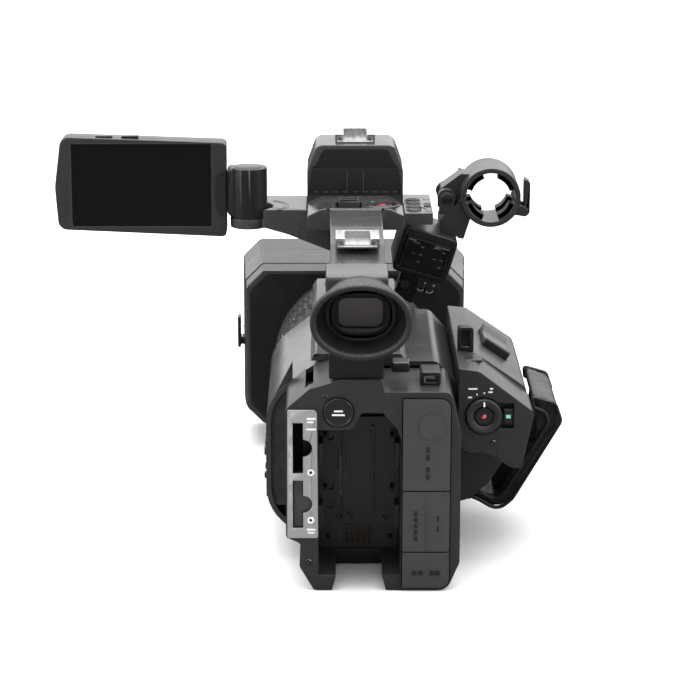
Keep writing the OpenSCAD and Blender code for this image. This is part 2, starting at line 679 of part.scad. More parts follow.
module xlr_cover() color("#1a1a1c") from_rear() xlr_tilt()
    block([-xlr_size[0] / 2 + 3, xlr_size[0] / 2 - 3], [xlr_y[0] - 2.2, xlr_y[0] - 0.6],
          [-xlr_size[1] / 2 + 2.5, xlr_cover_top]);

// ---- Microphone clamp ----

module clamp_half(upper) intersection() {
    difference() {
        rod_y([mic_x, mic_z], [mic_y, mic_y + clamp_len], clamp_r);
        rod_y([mic_x, mic_z], [mic_y - eps, mic_y + clamp_len + eps], mic_r + 2.8);
    }
    block([mic_x - clamp_r - 1, mic_x + clamp_r + 1], [mic_y - 1, mic_y + clamp_len + 1],
          upper ? [mic_z + gap / 2, mic_z + clamp_r + 1] : [mic_z - clamp_r - 1, mic_z - gap / 2]);
}

module clamp_pads(angles) for (a = angles, y = [mic_y + 3, mic_y + clamp_len - 11])
    translate([mic_x, y + 8, mic_z]) rotate([90, 0, 0]) rotate([0, 0, a]) rotate_extrude(angle = 52)
        translate([mic_r, 0]) square([3, 8]);

module mic_base() color("#2a2a2c") from_rear() {
    clamp_half(false);
    clamp_pads([198, 290]);
    difference() {
        plate_y([[45, 140, 1], [58, 137.5, 1], [62, 150, 1], [mic_x - 13, mic_z - 5, 0], [mic_x - 15, mic_z - gap / 2, 0],
                 [jaw_pin[0] + 6, mic_z - gap / 2 - 3, 0], [jaw_pin[0], jaw_pin[1] - 8, 0], [45, 148, 1]],
                [mic_y + 4, mic_y + clamp_len - 4]);
        xlr_tilt() block([-xlr_size[0] / 2, xlr_size[0] / 2], [xlr_y[0], xlr_y[1]], [-20, xlr_size[1] / 2]);
        rod_y(jaw_pin, [mic_y, mic_y + clamp_len], 6.4);
        rod_y([mic_x, mic_z], [mic_y, mic_y + clamp_len], mic_r + 3);
    }
    for (y = [mic_y + 4, mic_y + clamp_len - 8]) difference() {
        union() {
            rod_y(jaw_pin, [y, y + 4], 5);
            block([jaw_pin[0] - 4, jaw_pin[0] + 4], [y, y + 4], [jaw_pin[1] - 9, jaw_pin[1]]);
        }
        xlr_tilt() block([-xlr_size[0] / 2, xlr_size[0] / 2], [xlr_y[0], xlr_y[1]], [-20, xlr_size[1] / 2]);
    }
    rod_y(jaw_pin, [mic_y + 4, mic_y + clamp_len - 4], jaw_pin_r);
    rod_y(latch_pin, [mic_y + 8, mic_y + 24], 1.5);
    for (y = [mic_y + 8, mic_y + 21]) along_y([y, y + 3]) polygon([[mic_x + 11.8, mic_z - 10.8],
        [mic_x + clamp_r - 1, mic_z - 5.5], [latch_pin[0], latch_pin[1] + 2.4], [latch_pin[0] + 2, latch_pin[1] - 1.5],
        [latch_pin[0], latch_pin[1] - 3]]);
}

module mic_upper_jaw() color("#59595b") from_rear() {
    clamp_half(true);
    clamp_pads([18, 110]);
    difference() {
        plate_y([[jaw_pin[0] - 4, jaw_pin[1] - 2, 0], [jaw_pin[0] + 2, jaw_pin[1] - 4, 0],
                 [jaw_pin[0] + 7, mic_z + gap / 2, 0], [mic_x - 15, mic_z + gap / 2, 0],
                 [mic_x - 11, mic_z + 11.5, 0], [mic_x - 16, mic_z + 11.5, 2], [jaw_pin[0] - 3, jaw_pin[1] + 4.5, 3]],
                [mic_y + 8 + gap, mic_y + clamp_len - 8 - gap]);
        rod_y(jaw_pin, [mic_y, mic_y + clamp_len], jaw_pin_r + fit);
        rod_y([mic_x, mic_z], [mic_y, mic_y + clamp_len], mic_r + 3);
    }
}

module mic_latch() color("#39393b") from_rear() difference() {
    plate_y([[latch_pin[0] - 1.6, latch_pin[1] - 2.6, 1], [latch_pin[0] + 2.6, latch_pin[1] - 2, 1],
             [latch_pin[0] + 2.6, mic_z + 6, 1], [latch_pin[0] - 0.6, mic_z + 9, 1],
             [latch_pin[0] - 0.6, latch_pin[1] + 2, 0]], [mic_y + 11 + gap, mic_y + 21 - gap]);
    rod_y(latch_pin, [mic_y, mic_y + clamp_len], 1.5 + fit);
    rod_y([mic_x, mic_z], [mic_y, mic_y + clamp_len], clamp_r + gap);
}

// ---- Hand grip ----

thumb_outline = [[body_right, 66, 0], [53, 60, 4], [61, 61, 5], [68, 58, 6], [75, 53, 3], [80.6, 52, 2],
    [86.6, 81.5, 4], [59, 102.5, 6], [body_right, 104, 0]];
palm_outline = [[body_right, 24, 0], [56, 26, 6], [66, 34, 10], [76, 50, 10], [86.6, 78, 6], [84, 86, 4],
    [59, 103, 6], [body_right, 104, 0]];

module on_slope() translate(slope_c) rotate([0, slope_turn, 0]) children();

module grip_shell() color("#3b3b3d") from_rear() difference() {
    union() {
        plate_y(thumb_outline, [grip_y[0], grip_y[1]]);
        plate_y(palm_outline, [grip_y[1], grip_y[2]]);
    }
    plate_y(inset(palm_outline, wall), [grip_y[1] + wall, grip_y[2] - wall]);
    rod_y(dial_c, [grip_y[0] - eps, grip_y[0] + 8], dial_r + gap);
    block([dial_c[0] + dial_r - 1, lock_x + 3.6], [grip_y[0] - eps, grip_y[0] + 4], [dial_c[1] - 6.4, dial_c[1] + 6.4]);
    on_slope() translate([-rocker_size[0] / 2 - gap, -rocker_size[1] / 2 - gap, -4.5])
        cube([rocker_size[0] + 2 * gap, rocker_size[1] + 2 * gap, 12]);
}

module power_dial() color("#4c4c4e") from_rear() difference() {
    rod_y(dial_c, [grip_y[0] - 2, grip_y[0] + 7.7], dial_r);
    rod_y(dial_c, [grip_y[0] - 3, grip_y[0] + 5], 4.8);
}

module record_button() color("#b3343a") from_rear() rod_y(dial_c, [grip_y[0] - 1.4, grip_y[0] + 3], 4.5);

module dial_lock() color("#3fae9a") from_rear()
    block([dial_c[0] + dial_r + 0.9, lock_x + 3], [grip_y[0] - 1, grip_y[0] + 3.6], [dial_c[1] - 3.6, dial_c[1] + 3.6]);

module zoom_rocker() color("#2e2e30") from_rear() on_slope() along_x([-rocker_size[0] / 2, rocker_size[0] / 2])
    polygon(rounded([[-rocker_size[1] / 2 + 0.4, -1.5, 0], [0, -4.2, 0], [rocker_size[1] / 2 - 0.4, -1.5, 0],
                     [rocker_size[1] / 2 - 0.4, 3.4, 1.2], [6, 1.4, 6], [-6, 1.4, 6], [-rocker_size[1] / 2 + 0.4, 3.4, 1.2]]));

strap_outline = [[87.2, 80, 2], [101, 76, 4], [104.5, 66, 6], [80, 24, 6], [72, 17, 8], [62, 23, 6], [54, 26.6, 0],
    [57.5, 28.6, 0], [64, 28.5, 3], [70, 25, 3], [75, 30, 5], [96, 65.5, 4], [94, 70, 3], [88, 72.5, 1]];

module hand_strap() color("#161617") from_rear() difference() {
    plate_y(strap_outline, [grip_y[1] + 4, grip_y[1] + 4 + strap_w]);
    plate_y(palm_outline, [grip_y[1], grip_y[2]]);
}

rear_cover();
battery_plate();
battery_terminals();
battery_latch();
battery_release_button();
card_slot_plate();
card_slots();
slot_shutter();
av_cover();
hdmi_cover();
dc_cover();
jacks();
strap_hooks();
base_plate();
tripod_socket();
left_cover();
right_cover();
main_board();
sensor_block();
lens_barrel();
front_lens();
iris_ring();
zoom_ring();
focus_ring();
lens_hood();
shutter_upper();
shutter_lower();
shutter_lever();
top_cover();
handle_frame();
handle_top();
accessory_shoes();
handle_zoom_lever();
handle_record_button();
function_button_1();
function_button_2();
function_button_3();
function_button_4();
lcd_base();
lcd_swivel();
lcd_back_cover();
lcd_bezel();
lcd_glass();
evf_support();
evf_pin();
evf_housing();
evf_lens();
eyecup();
xlr_box();
xlr_sockets();
xlr_cover();
mic_base();
mic_upper_jaw();
mic_latch();
grip_shell();
power_dial();
record_button();
dial_lock();
zoom_rocker();
hand_strap();
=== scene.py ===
import json
import math

import bmesh
import bpy
from mathutils import Matrix, Vector
from mathutils.bvhtree import BVHTree
from mathutils.geometry import convex_hull_2d


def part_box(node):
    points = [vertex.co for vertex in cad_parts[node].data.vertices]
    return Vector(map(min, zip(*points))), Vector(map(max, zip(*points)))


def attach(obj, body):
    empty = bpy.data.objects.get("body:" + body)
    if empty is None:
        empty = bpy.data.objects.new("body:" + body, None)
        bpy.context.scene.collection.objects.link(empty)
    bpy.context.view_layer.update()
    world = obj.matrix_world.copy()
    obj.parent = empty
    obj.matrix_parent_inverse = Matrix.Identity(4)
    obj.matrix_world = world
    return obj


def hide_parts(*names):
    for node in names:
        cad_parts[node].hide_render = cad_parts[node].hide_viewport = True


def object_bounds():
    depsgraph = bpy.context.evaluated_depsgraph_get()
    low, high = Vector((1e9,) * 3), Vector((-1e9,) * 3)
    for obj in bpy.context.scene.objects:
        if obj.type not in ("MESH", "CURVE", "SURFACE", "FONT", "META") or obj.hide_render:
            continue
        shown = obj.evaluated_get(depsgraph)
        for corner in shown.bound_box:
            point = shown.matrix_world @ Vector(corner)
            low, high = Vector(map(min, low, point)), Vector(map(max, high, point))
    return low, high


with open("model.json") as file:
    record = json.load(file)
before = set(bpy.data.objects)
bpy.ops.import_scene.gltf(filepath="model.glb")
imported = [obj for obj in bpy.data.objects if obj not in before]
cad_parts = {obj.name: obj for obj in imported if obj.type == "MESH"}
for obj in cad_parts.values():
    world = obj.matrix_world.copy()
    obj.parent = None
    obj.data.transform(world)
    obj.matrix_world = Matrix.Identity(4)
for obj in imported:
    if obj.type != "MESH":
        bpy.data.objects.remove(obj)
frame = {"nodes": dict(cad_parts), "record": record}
cadBox = [list(corner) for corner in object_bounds()]
nodes = frame["nodes"]
bodyOf = {node: body for body, members in frame["record"]["behaviour"]["bodies"].items()
          for node in members}
mm = 0.001
print("frame loaded:", len(nodes), "nodes")


# Shader helpers

def addNode(tree, kind, inputs=None, **settings):
    made = tree.nodes.new(kind)
    for key, value in settings.items():
        setattr(made, key, value)
    for key, value in (inputs or {}).items():
        if isinstance(value, bpy.types.NodeSocket):
            tree.links.new(value, made.inputs[key])
        else:
            made.inputs[key].default_value = value
    return made


def mixColor(tree, factor, low, high):
    low, high = ((*value, 1) if isinstance(value, tuple) else value for value in (low, high))
    return addNode(tree, "ShaderNodeMix", {0: factor, 6: low, 7: high}, data_type="RGBA").outputs[2]


def startMaterial(name, **fixed):  # the fixed values are the same all over the surface
    made = bpy.data.materials.new(name)
    made.use_nodes = True
    shader = made.node_tree.nodes["Principled BSDF"]
    for key, value in fixed.items():
        shader.inputs[key.replace("_", " ")].default_value = value
    return made, made.node_tree, shader


# Camera and light

cameraView = {"distance": 1.2, "height": 0.1214, "side": -0.0143, "pitch": 15.0, "lens": 129.6,
              "shiftX": 0.0291}


def addCamera(view):
    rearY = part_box("rear_cover")[0].y
    pitch = math.radians(view["pitch"])
    data = bpy.data.cameras.new("camera")
    data.lens = view["lens"]
    data.shift_x = view["shiftX"]
    data.clip_start = 0.05
    camera = bpy.data.objects.new("camera", data)
    camera.location = (view["side"], rearY - view["distance"] * math.cos(pitch),
                       view["height"] + view["distance"] * math.sin(pitch))
    camera.rotation_euler = (math.radians(90) - pitch, 0, 0)
    bpy.context.scene.collection.objects.link(camera)
    bpy.context.scene.camera = camera


addCamera(cameraView)

studio = {"floorSize": 14.0, "floorAhead": 2.5, "floorGap": 0.0003, "floorColor": (0.93, 0.93, 0.93),
          "floorMirrored": (0.035, 0.035, 0.035), "floorGloss": 0.9, "floorShine": 0.1,
          "seen": 1.0, "front": 0.16, "back": 1.5, "top": 1.5}
softboxes = {"overheadSoftbox": ((0, 0.15, 1.5), (0, 0.05, 0), 1.6, 34),  # place, target, size, power
             "leftSoftbox": ((-1.5, -0.6, 0.8), (0, 0, 0.1), 0.9, 11),
             "rightSoftbox": ((1.5, -0.5, 0.9), (0, 0, 0.1), 0.9, 11)}


def areaLight(name, place, target, size, power):
    data = bpy.data.lights.new(name, "AREA")
    data.shape = "RECTANGLE"
    data.size = data.size_y = size
    data.energy = power
    light = bpy.data.objects.new(name, data)
    light.location = place
    light.rotation_euler = (Vector(target) - Vector(place)).to_track_quat("-Z", "Y").to_euler()
    bpy.context.scene.collection.objects.link(light)


def addFloor(look):
    bpy.ops.mesh.primitive_plane_add(size=look["floorSize"],
                                     location=(0, look["floorAhead"], cadBox[0][2] - look["floorGap"]))
    floor = bpy.context.object
    floor.name = "floor"
    paint, tree, shader = startMaterial("floorPaper", Roughness=look["floorGloss"],
                                        Specular_IOR_Level=look["floorShine"])
    rays = addNode(tree, "ShaderNodeLightPath")  # a dim floor in reflections keeps the glass black
    shade = mixColor(tree, rays.outputs["Is Glossy Ray"], look["floorColor"], look["floorMirrored"])
    tree.links.new(shade, shader.inputs["Base Color"])
    floor.data.materials.append(paint)


def addBackdrop(look):  # brighter ahead and overhead; the camera itself sees one pale backdrop all round
    world = bpy.data.worlds.new("studio")
    world.use_nodes = True
    tree = world.node_tree
    tree.nodes.clear()
    split = addNode(tree, "ShaderNodeSeparateXYZ",
                    {"Vector": addNode(tree, "ShaderNodeTexCoord").outputs["Generated"]})
    frontBack = addNode(tree, "ShaderNodeMapRange", {"Value": split.outputs["Y"], "From Min": -0.7,
                                                     "From Max": 0.35,
                                                     "To Min": look["front"], "To Max": look["back"]})
    overhead = addNode(tree, "ShaderNodeMapRange", {"Value": split.outputs["Z"], "From Min": 0.25,
                                                    "From Max": 0.9,
                                                    "To Max": look["top"]})
    brighter = addNode(tree, "ShaderNodeMath", {0: frontBack.outputs["Result"],
                                                1: overhead.outputs["Result"]},
                       operation="MAXIMUM")
    rays = addNode(tree, "ShaderNodeLightPath")
    seen = addNode(tree, "ShaderNodeMix", {0: rays.outputs["Is Camera Ray"], 2: brighter.outputs["Value"],
                                           3: look["seen"]})
    background = addNode(tree, "ShaderNodeBackground", {"Color": seen.outputs[0]})
    addNode(tree, "ShaderNodeOutputWorld", {"Surface": background.outputs["Background"]})
    bpy.context.scene.world = world
    bpy.context.scene.view_settings.view_transform = "Standard"


addFloor(studio)
addBackdrop(studio)
for name, (place, target, size, power) in softboxes.items():
    areaLight(name, place, target, size, power)
print("camera and light ready")


# Shared shader groups

def newGroup(name, inputs, outputs):
    group = bpy.data.node_groups.new(name, "ShaderNodeTree")
    for label, kind, value in inputs:
        socket = group.interface.new_socket(name=label, in_out="INPUT", socket_type=kind)
        if value is not None:
            socket.default_value = value
    for label, kind in outputs:
        group.interface.new_socket(name=label, in_out="OUTPUT", socket_type=kind)
    return group, group.nodes.new("NodeGroupInput"), group.nodes.new("NodeGroupOutput")


def buildMouldGrain():
    group, start, end = newGroup("mouldGrain", [("Grain Size", "NodeSocketFloat", 1400.0),
                                                ("Speckle", "NodeSocketFloat", 0.5)],
                                 [("Height", "NodeSocketFloat"), ("Tone", "NodeSocketFloat")])
    place = addNode(group, "ShaderNodeTexCoord").outputs["Object"]
    cells = addNode(group, "ShaderNodeTexVoronoi", {"Vector": place, "Scale": start.outputs["Grain Size"]},
                    feature="SMOOTH_F1")
    fine = addNode(group, "ShaderNodeTexNoise", {"Vector": place, "Scale": start.outputs["Grain Size"],
                                                 "Detail": 3.0})
    height = addNode(group, "ShaderNodeMath", {0: cells.outputs["Distance"], 1: fine.outputs["Fac"]},
                     operation="ADD")
    broad = addNode(group, "ShaderNodeTexNoise", {"Vector": place, "Scale": 38.0, "Detail": 4.0,
                                                  "Roughness": 0.6})
    spots = addNode(group, "ShaderNodeMix", {"Factor": start.outputs["Speckle"], 2: broad.outputs["Fac"],
                                             3: fine.outputs["Fac"]})
    group.links.new(height.outputs["Value"], end.inputs["Height"])
    group.links.new(spots.outputs[0], end.inputs["Tone"])
    return group


def buildEdgeWear():
    group, start, end = newGroup("edgeWear", [("Reach", "NodeSocketFloat", 0.53),
                                              ("Breakup", "NodeSocketFloat", 160.0)],
                                 [("Mask", "NodeSocketFloat")])
    place = addNode(group, "ShaderNodeTexCoord").outputs["Object"]
    edge = addNode(group, "ShaderNodeNewGeometry").outputs["Pointiness"]
    high = addNode(group, "ShaderNodeMath", {0: start.outputs["Reach"], 1: 0.06}, operation="ADD")
    sharp = addNode(group, "ShaderNodeMapRange", {"Value": edge, "From Min": start.outputs["Reach"],
                                                  "From Max": high.outputs["Value"]})
    patch = addNode(group, "ShaderNodeTexNoise", {"Vector": place, "Scale": start.outputs["Breakup"],
                                                  "Detail": 5.0})
    worn = addNode(group, "ShaderNodeMapRange", {"Value": patch.outputs["Fac"], "From Min": 0.42,
                                                 "From Max": 0.62})
    both = addNode(group, "ShaderNodeMath", {0: sharp.outputs["Result"], 1: worn.outputs["Result"]},
                   operation="MULTIPLY")
    group.links.new(both.outputs["Value"], end.inputs["Mask"])
    return group


def buildSettledDust():
    group, start, end = newGroup("settledDust", [("Cover", "NodeSocketFloat", 0.3)],
                                 [("Mask", "NodeSocketFloat")])
    place = addNode(group, "ShaderNodeTexCoord").outputs["Object"]
    facing = addNode(group, "ShaderNodeNewGeometry").outputs["Normal"]
    up = addNode(group, "ShaderNodeSeparateXYZ", {"Vector": facing})
    upward = addNode(group, "ShaderNodeMapRange", {"Value": up.outputs["Z"], "From Min": 0.2,
                                                   "From Max": 1.0})
    specks = addNode(group, "ShaderNodeTexNoise", {"Vector": place, "Scale": 900.0, "Detail": 6.0,
                                                   "Roughness": 0.7})
    seen = addNode(group, "ShaderNodeMapRange", {"Value": specks.outputs["Fac"], "From Min": 0.5,
                                                 "From Max": 0.8})
    lying = addNode(group, "ShaderNodeMath", {0: upward.outputs["Result"], 1: seen.outputs["Result"]},
                    operation="MULTIPLY")
    amount = addNode(group, "ShaderNodeMath", {0: lying.outputs["Value"], 1: start.outputs["Cover"]},
                     operation="MULTIPLY")
    group.links.new(amount.outputs["Value"], end.inputs["Mask"])
    return group


def buildBrushing():
    group, start, end = newGroup("brushing", [("Along", "NodeSocketVector", (1.0, 1.0, 1.0)),
                                              ("Fineness", "NodeSocketFloat", 700.0)],
                                 [("Height", "NodeSocketFloat")])
    place = addNode(group, "ShaderNodeTexCoord").outputs["Object"]
    drawn = addNode(group, "ShaderNodeVectorMath", {0: place, 1: start.outputs["Along"]},
                    operation="MULTIPLY")
    lines = addNode(group, "ShaderNodeTexNoise", {"Vector": drawn.outputs["Vector"],
                                                  "Scale": start.outputs["Fineness"], "Detail": 4.0})
    group.links.new(lines.outputs["Fac"], end.inputs["Height"])
    return group


def buildLeatherGrain():
    group, start, end = newGroup("leatherGrain", [("Pebble Size", "NodeSocketFloat", 900.0)],
                                 [("Height", "NodeSocketFloat"), ("Crease", "NodeSocketFloat")])
    place = addNode(group, "ShaderNodeTexCoord").outputs["Object"]
    warp = addNode(group, "ShaderNodeTexNoise", {"Vector": place, "Scale": 240.0, "Detail": 2.0})
    offset = addNode(group, "ShaderNodeVectorMath", {0: warp.outputs["Color"], "Scale": 0.0016},
                     operation="SCALE")
    moved = addNode(group, "ShaderNodeVectorMath", {0: place, 1: offset.outputs["Vector"]}, operation="ADD")
    pebbles = addNode(group, "ShaderNodeTexVoronoi", {"Vector": moved.outputs["Vector"],
                                                      "Scale": start.outputs["Pebble Size"]},
                      feature="DISTANCE_TO_EDGE")
    raised = addNode(group, "ShaderNodeMapRange", {"Value": pebbles.outputs["Distance"], "From Max": 0.22})
    folds = addNode(group, "ShaderNodeTexNoise", {"Vector": place, "Scale": 70.0, "Detail": 5.0})
    group.links.new(raised.outputs["Result"], end.inputs["Height"])
    group.links.new(folds.outputs["Fac"], end.inputs["Crease"])
    return group


mouldGrain = buildMouldGrain()
edgeWear = buildEdgeWear()
settledDust = buildSettledDust()
brushing = buildBrushing()
leatherGrain = buildLeatherGrain()


# Finishes

def wornTone(tree, factor, look, reach):  # dark and light mixed, with rubbed edges on top
    wear = placeGroup(tree, edgeWear, Reach=reach)
    return mixColor(tree, wear.outputs["Mask"], mixColor(tree, factor, look["dark"], look["light"]),
                    look["wear"])


def glossBetween(tree, value, look, low=0.3, high=0.7):
    return addNode(tree, "ShaderNodeMapRange", {"Value": value, "From Min": low, "From Max": high,
                                                "To Min": look["smoothest"], "To Max": look["roughest"]})


def joinShader(tree, shader, color, gloss=None, height=None, strength=0.5, distance=0.0001):
    tree.links.new(color, shader.inputs["Base Color"])
    if gloss:
        tree.links.new(gloss.outputs["Result"], shader.inputs["Roughness"])
    if height:
        relief = addNode(tree, "ShaderNodeBump", {"Height": height, "Strength": strength,
                                                  "Distance": distance})
        tree.links.new(relief.outputs["Normal"], shader.inputs["Normal"])


def placeGroup(tree, group, **values):
    made = tree.nodes.new("ShaderNodeGroup")
    made.node_tree = group
    for key, value in values.items():
        made.inputs[key.replace("_", " ")].default_value = value
    return made


def plasticFinish(name, look):
    made, tree, shader = startMaterial(name, Specular_IOR_Level=look["specular"])
    grain = placeGroup(tree, mouldGrain, Grain_Size=look["grainSize"], Speckle=look["speckle"])
    dust = placeGroup(tree, settledDust, Cover=look["dust"])
    worn = wornTone(tree, grain.outputs["Tone"], look, look["wearReach"])
    dusty = mixColor(tree, dust.outputs["Mask"], worn, look["dustColor"])
    joinShader(tree, shader, dusty, glossBetween(tree, grain.outputs["Tone"], look),
               grain.outputs["Height"],
               look["relief"], 0.06 * mm)
    return made


def plasticLook(dark, light, smoothest=0.38, roughest=0.52, relief=0.35, grainSize=1500.0, **more):
    look = {"dark": (dark,) * 3, "light": (light, light, light * 1.02), "wear": (light * 1.9,) * 3,
            "smoothest": smoothest,
            "roughest": roughest, "relief": relief, "grainSize": grainSize, "speckle": 0.35,
            "wearReach": 0.6, "dust": 0.1,
            "dustColor": (0.5, 0.48, 0.45), "specular": 0.5}
    look.update(more)
    return look


plasticLooks = {
    "bodyPlastic": plasticLook(0.021, 0.03, smoothest=0.26, roughest=0.4, relief=0.12),
    "gripPlastic": plasticLook(0.019, 0.027, smoothest=0.3, roughest=0.44, relief=0.14),
    "sidePlastic": plasticLook(0.036, 0.048, wearReach=0.9, smoothest=0.16, roughest=0.26, relief=0.05),
    "deckPlastic": plasticLook(0.036, 0.048, smoothest=0.2, roughest=0.31, relief=0.05),
    "hoodPlastic": plasticLook(0.034, 0.046, smoothest=0.22, roughest=0.32, relief=0.06),
    "blackPlastic": plasticLook(0.008, 0.013, smoothest=0.3, roughest=0.44, relief=0.2),
    "buttonPlastic": plasticLook(0.012, 0.018, smoothest=0.26, roughest=0.36, relief=0.12),
    "coverRubber": plasticLook(0.036, 0.046, wearReach=0.9, smoothest=0.55, roughest=0.7, relief=0.3,
                               grainSize=2200.0, specular=0.35),
    # Rubber of the lens rings; on the jack covers' raised bars this darker finish is painted shade round
    # the embossed marks.
    "ringRubberAndReliefShade": plasticLook(0.01, 0.016, smoothest=0.48, roughest=0.62, relief=0.3, grainSize=1800.0),
    "cupRubber": plasticLook(0.012, 0.02, smoothest=0.5, roughest=0.66, relief=0.25, grainSize=2600.0,
                             dust=0.3),
    "padRubber": plasticLook(0.006, 0.01, smoothest=0.6, roughest=0.75, relief=0.4),
    "redPlastic": {**plasticLook(0.3, 0.4, relief=0.1), "dark": (0.45, 0.02, 0.02),
                   "light": (0.6, 0.035, 0.03)},
    "greenPlastic": {**plasticLook(0.3, 0.4, relief=0.1), "dark": (0.05, 0.5, 0.42),
                     "light": (0.09, 0.62, 0.53)},
    "whitePrint": plasticLook(0.6, 0.75, smoothest=0.5, roughest=0.6, relief=0.05, dust=0.0),
}


def metalFinish(name, look):
    made, tree, shader = startMaterial(name, Metallic=look["metallic"])
    brush = placeGroup(tree, brushing, Along=look["along"], Fineness=look["fineness"])
    grain = placeGroup(tree, mouldGrain, Grain_Size=2400.0, Speckle=0.6)
    joinShader(tree, shader, wornTone(tree, grain.outputs["Tone"], look, 0.62),
               glossBetween(tree, brush.outputs["Height"], look), brush.outputs["Height"], look["relief"],
               0.03 * mm)
    return made


metalLooks = {
    "satinMetal": {"dark": (0.7, 0.7, 0.71), "light": (0.75, 0.75, 0.76), "wear": (0.85, 0.85, 0.85),
                   "along": (1.0, 0.05, 1.0),
                   "fineness": 500.0, "smoothest": 0.24, "roughest": 0.34, "relief": 0.05, "metallic": 1.0},
    "silverPaint": {"dark": (0.4, 0.4, 0.405), "light": (0.5, 0.5, 0.505), "wear": (0.7, 0.7, 0.7),
                    "along": (1.0, 1.0, 1.0),
                    "fineness": 2600.0, "smoothest": 0.34, "roughest": 0.5, "relief": 0.35,
                    "metallic": 0.55},
    "brassContact": {"dark": (0.2, 0.15, 0.07), "light": (0.28, 0.21, 0.1), "wear": (0.4, 0.34, 0.2),
                     "along": (1.0, 1.0, 0.05),
                     "fineness": 1600.0, "smoothest": 0.18, "roughest": 0.3, "relief": 0.2,
                     "metallic": 1.0},
    "darkMetal": {"dark": (0.06, 0.06, 0.062), "light": (0.09, 0.09, 0.092), "wear": (0.35, 0.35, 0.35),
                  "along": (1.0, 1.0, 0.1),
                  "fineness": 1500.0, "smoothest": 0.28, "roughest": 0.42, "relief": 0.25, "metallic": 0.9},
}


def leatherFinish(name, look):
    made, tree, shader = startMaterial(name)
    hide = placeGroup(tree, leatherGrain, Pebble_Size=look["pebbleSize"])
    joinShader(tree, shader, wornTone(tree, hide.outputs["Crease"], look, 0.56),
               glossBetween(tree, hide.outputs["Crease"], look), hide.outputs["Height"], look["relief"],
               0.12 * mm)
    return made


def weaveFinish(name, look):
    made, tree, shader = startMaterial(name, Roughness=0.8, Sheen_Weight=0.3)
    place = addNode(tree, "ShaderNodeTexCoord").outputs["Object"]
    across, along = (addNode(tree, "ShaderNodeTexWave", {"Vector": place, "Scale": look["threads"]},
                             bands_direction=axis).outputs["Fac"] for axis in "YZ")
    cloth = addNode(tree, "ShaderNodeMath", {0: across, 1: along}, operation="MULTIPLY").outputs["Value"]
    joinShader(tree, shader, mixColor(tree, cloth, look["dark"], look["light"]), None, cloth, 0.7,
               0.15 * mm)
    return made


def screenFinish(name, look):
    made, tree, shader = startMaterial(name, Coat_Weight=0.6, Coat_Roughness=0.04, Alpha=look["alpha"])
    dust = placeGroup(tree, settledDust, Cover=0.2)
    tone = placeGroup(tree, mouldGrain, Grain_Size=700.0, Speckle=0.1).outputs["Tone"]
    dusty = mixColor(tree, dust.outputs["Mask"], mixColor(tree, tone, look["dark"], look["light"]),
                     (0.3, 0.3, 0.3))
    joinShader(tree, shader, dusty, glossBetween(tree, tone, look, 0.35, 0.75))
    return made


def opticFinish(name, look):
    made, tree, shader = startMaterial(name, Alpha=look["alpha"], IOR=1.6, Coat_Weight=0.8,
                                       Coat_Tint=(*look["tint"], 1))
    # The base colour turns from the centre colour to the rim colour towards grazing angles: a painted
    # reflection on the glass.
    rim = addNode(tree, "ShaderNodeLayerWeight", {"Blend": 0.35})
    glassTintAndPaintedReflection = mixColor(tree, rim.outputs["Facing"], look["centre"], look["rim"])
    grain = placeGroup(tree, mouldGrain, Grain_Size=500.0, Speckle=0.1)
    haze = addNode(tree, "ShaderNodeMapRange", {"Value": grain.outputs["Tone"], "To Min": 0.01,
                                                "To Max": 0.06})
    joinShader(tree, shader, glassTintAndPaintedReflection, haze)
    return made


def boardFinish(name, look):
    made, tree, shader = startMaterial(name, Roughness=0.35)
    place = addNode(tree, "ShaderNodeTexCoord").outputs["Object"]
    tracks = addNode(tree, "ShaderNodeTexBrick", {"Vector": place, "Scale": look["tracks"]}).outputs["Fac"]
    joinShader(tree, shader, mixColor(tree, tracks, look["mask"], look["copper"]), None, tracks, 0.4,
               0.1 * mm)
    return made


otherLooks = {
    "strapLeather": (leatherFinish, {"dark": (0.006, 0.006, 0.0065), "light": (0.013, 0.013, 0.014),
                                     "wear": (0.05, 0.05, 0.05), "smoothest": 0.34, "roughest": 0.52,
                                     "relief": 0.6,
                                     "pebbleSize": 900.0}),
    "strapWeave": (weaveFinish, {"threads": 420.0, "dark": (0.004, 0.004, 0.004),
                                 "light": (0.018, 0.018, 0.019)}),
    "screenGloss": (screenFinish, {"dark": (0.0016, 0.0016, 0.0018), "light": (0.003, 0.003, 0.0032),
                                   "smoothest": 0.05, "roughest": 0.16, "alpha": 1.0}),
    "smokeCover": (screenFinish, {"dark": (0.004, 0.004, 0.0045), "light": (0.008, 0.008, 0.009),
                                  "smoothest": 0.05, "roughest": 0.12, "alpha": 0.35}),
    "lensGlass": (opticFinish, {"centre": (0.012, 0.02, 0.045), "rim": (0.03, 0.09, 0.07),
                                "tint": (0.75, 0.9, 1.0),
                                "alpha": 0.6}),
    # The eyepiece glass's grey colours under its warm coat tint are a painted reflection.
    "eyeGlass": (opticFinish, {"centre": (0.09, 0.095, 0.1), "rim": (0.16, 0.17, 0.17),
                               "tint": (1.0, 0.85, 0.8),
                               "alpha": 0.9}),
    "circuitBoard": (boardFinish, {"tracks": 160.0, "mask": (0.01, 0.12, 0.05),
                                   "copper": (0.03, 0.2, 0.09)}),
}

finishes = {name: plasticFinish(name, look) for name, look in plasticLooks.items()}
finishes.update({name: metalFinish(name, look) for name, look in metalLooks.items()})
finishes.update({name: finish(name, look) for name, (finish, look) in otherLooks.items()})
print("finishes ready:", len(finishes))


# Making pieces

def newPiece(name, bm, smoothAngle=35):
    mesh = bpy.data.meshes.new(name)
    bmesh.ops.recalc_face_normals(bm, faces=bm.faces)
    bm.to_mesh(mesh)
    bm.free()
    mesh.polygons.foreach_set("use_smooth", [True] * len(mesh.polygons))
    mesh.set_sharp_from_angle(angle=math.radians(smoothAngle))
    piece = bpy.data.objects.new(name, mesh)
    bpy.context.scene.collection.objects.link(piece)
    return piece


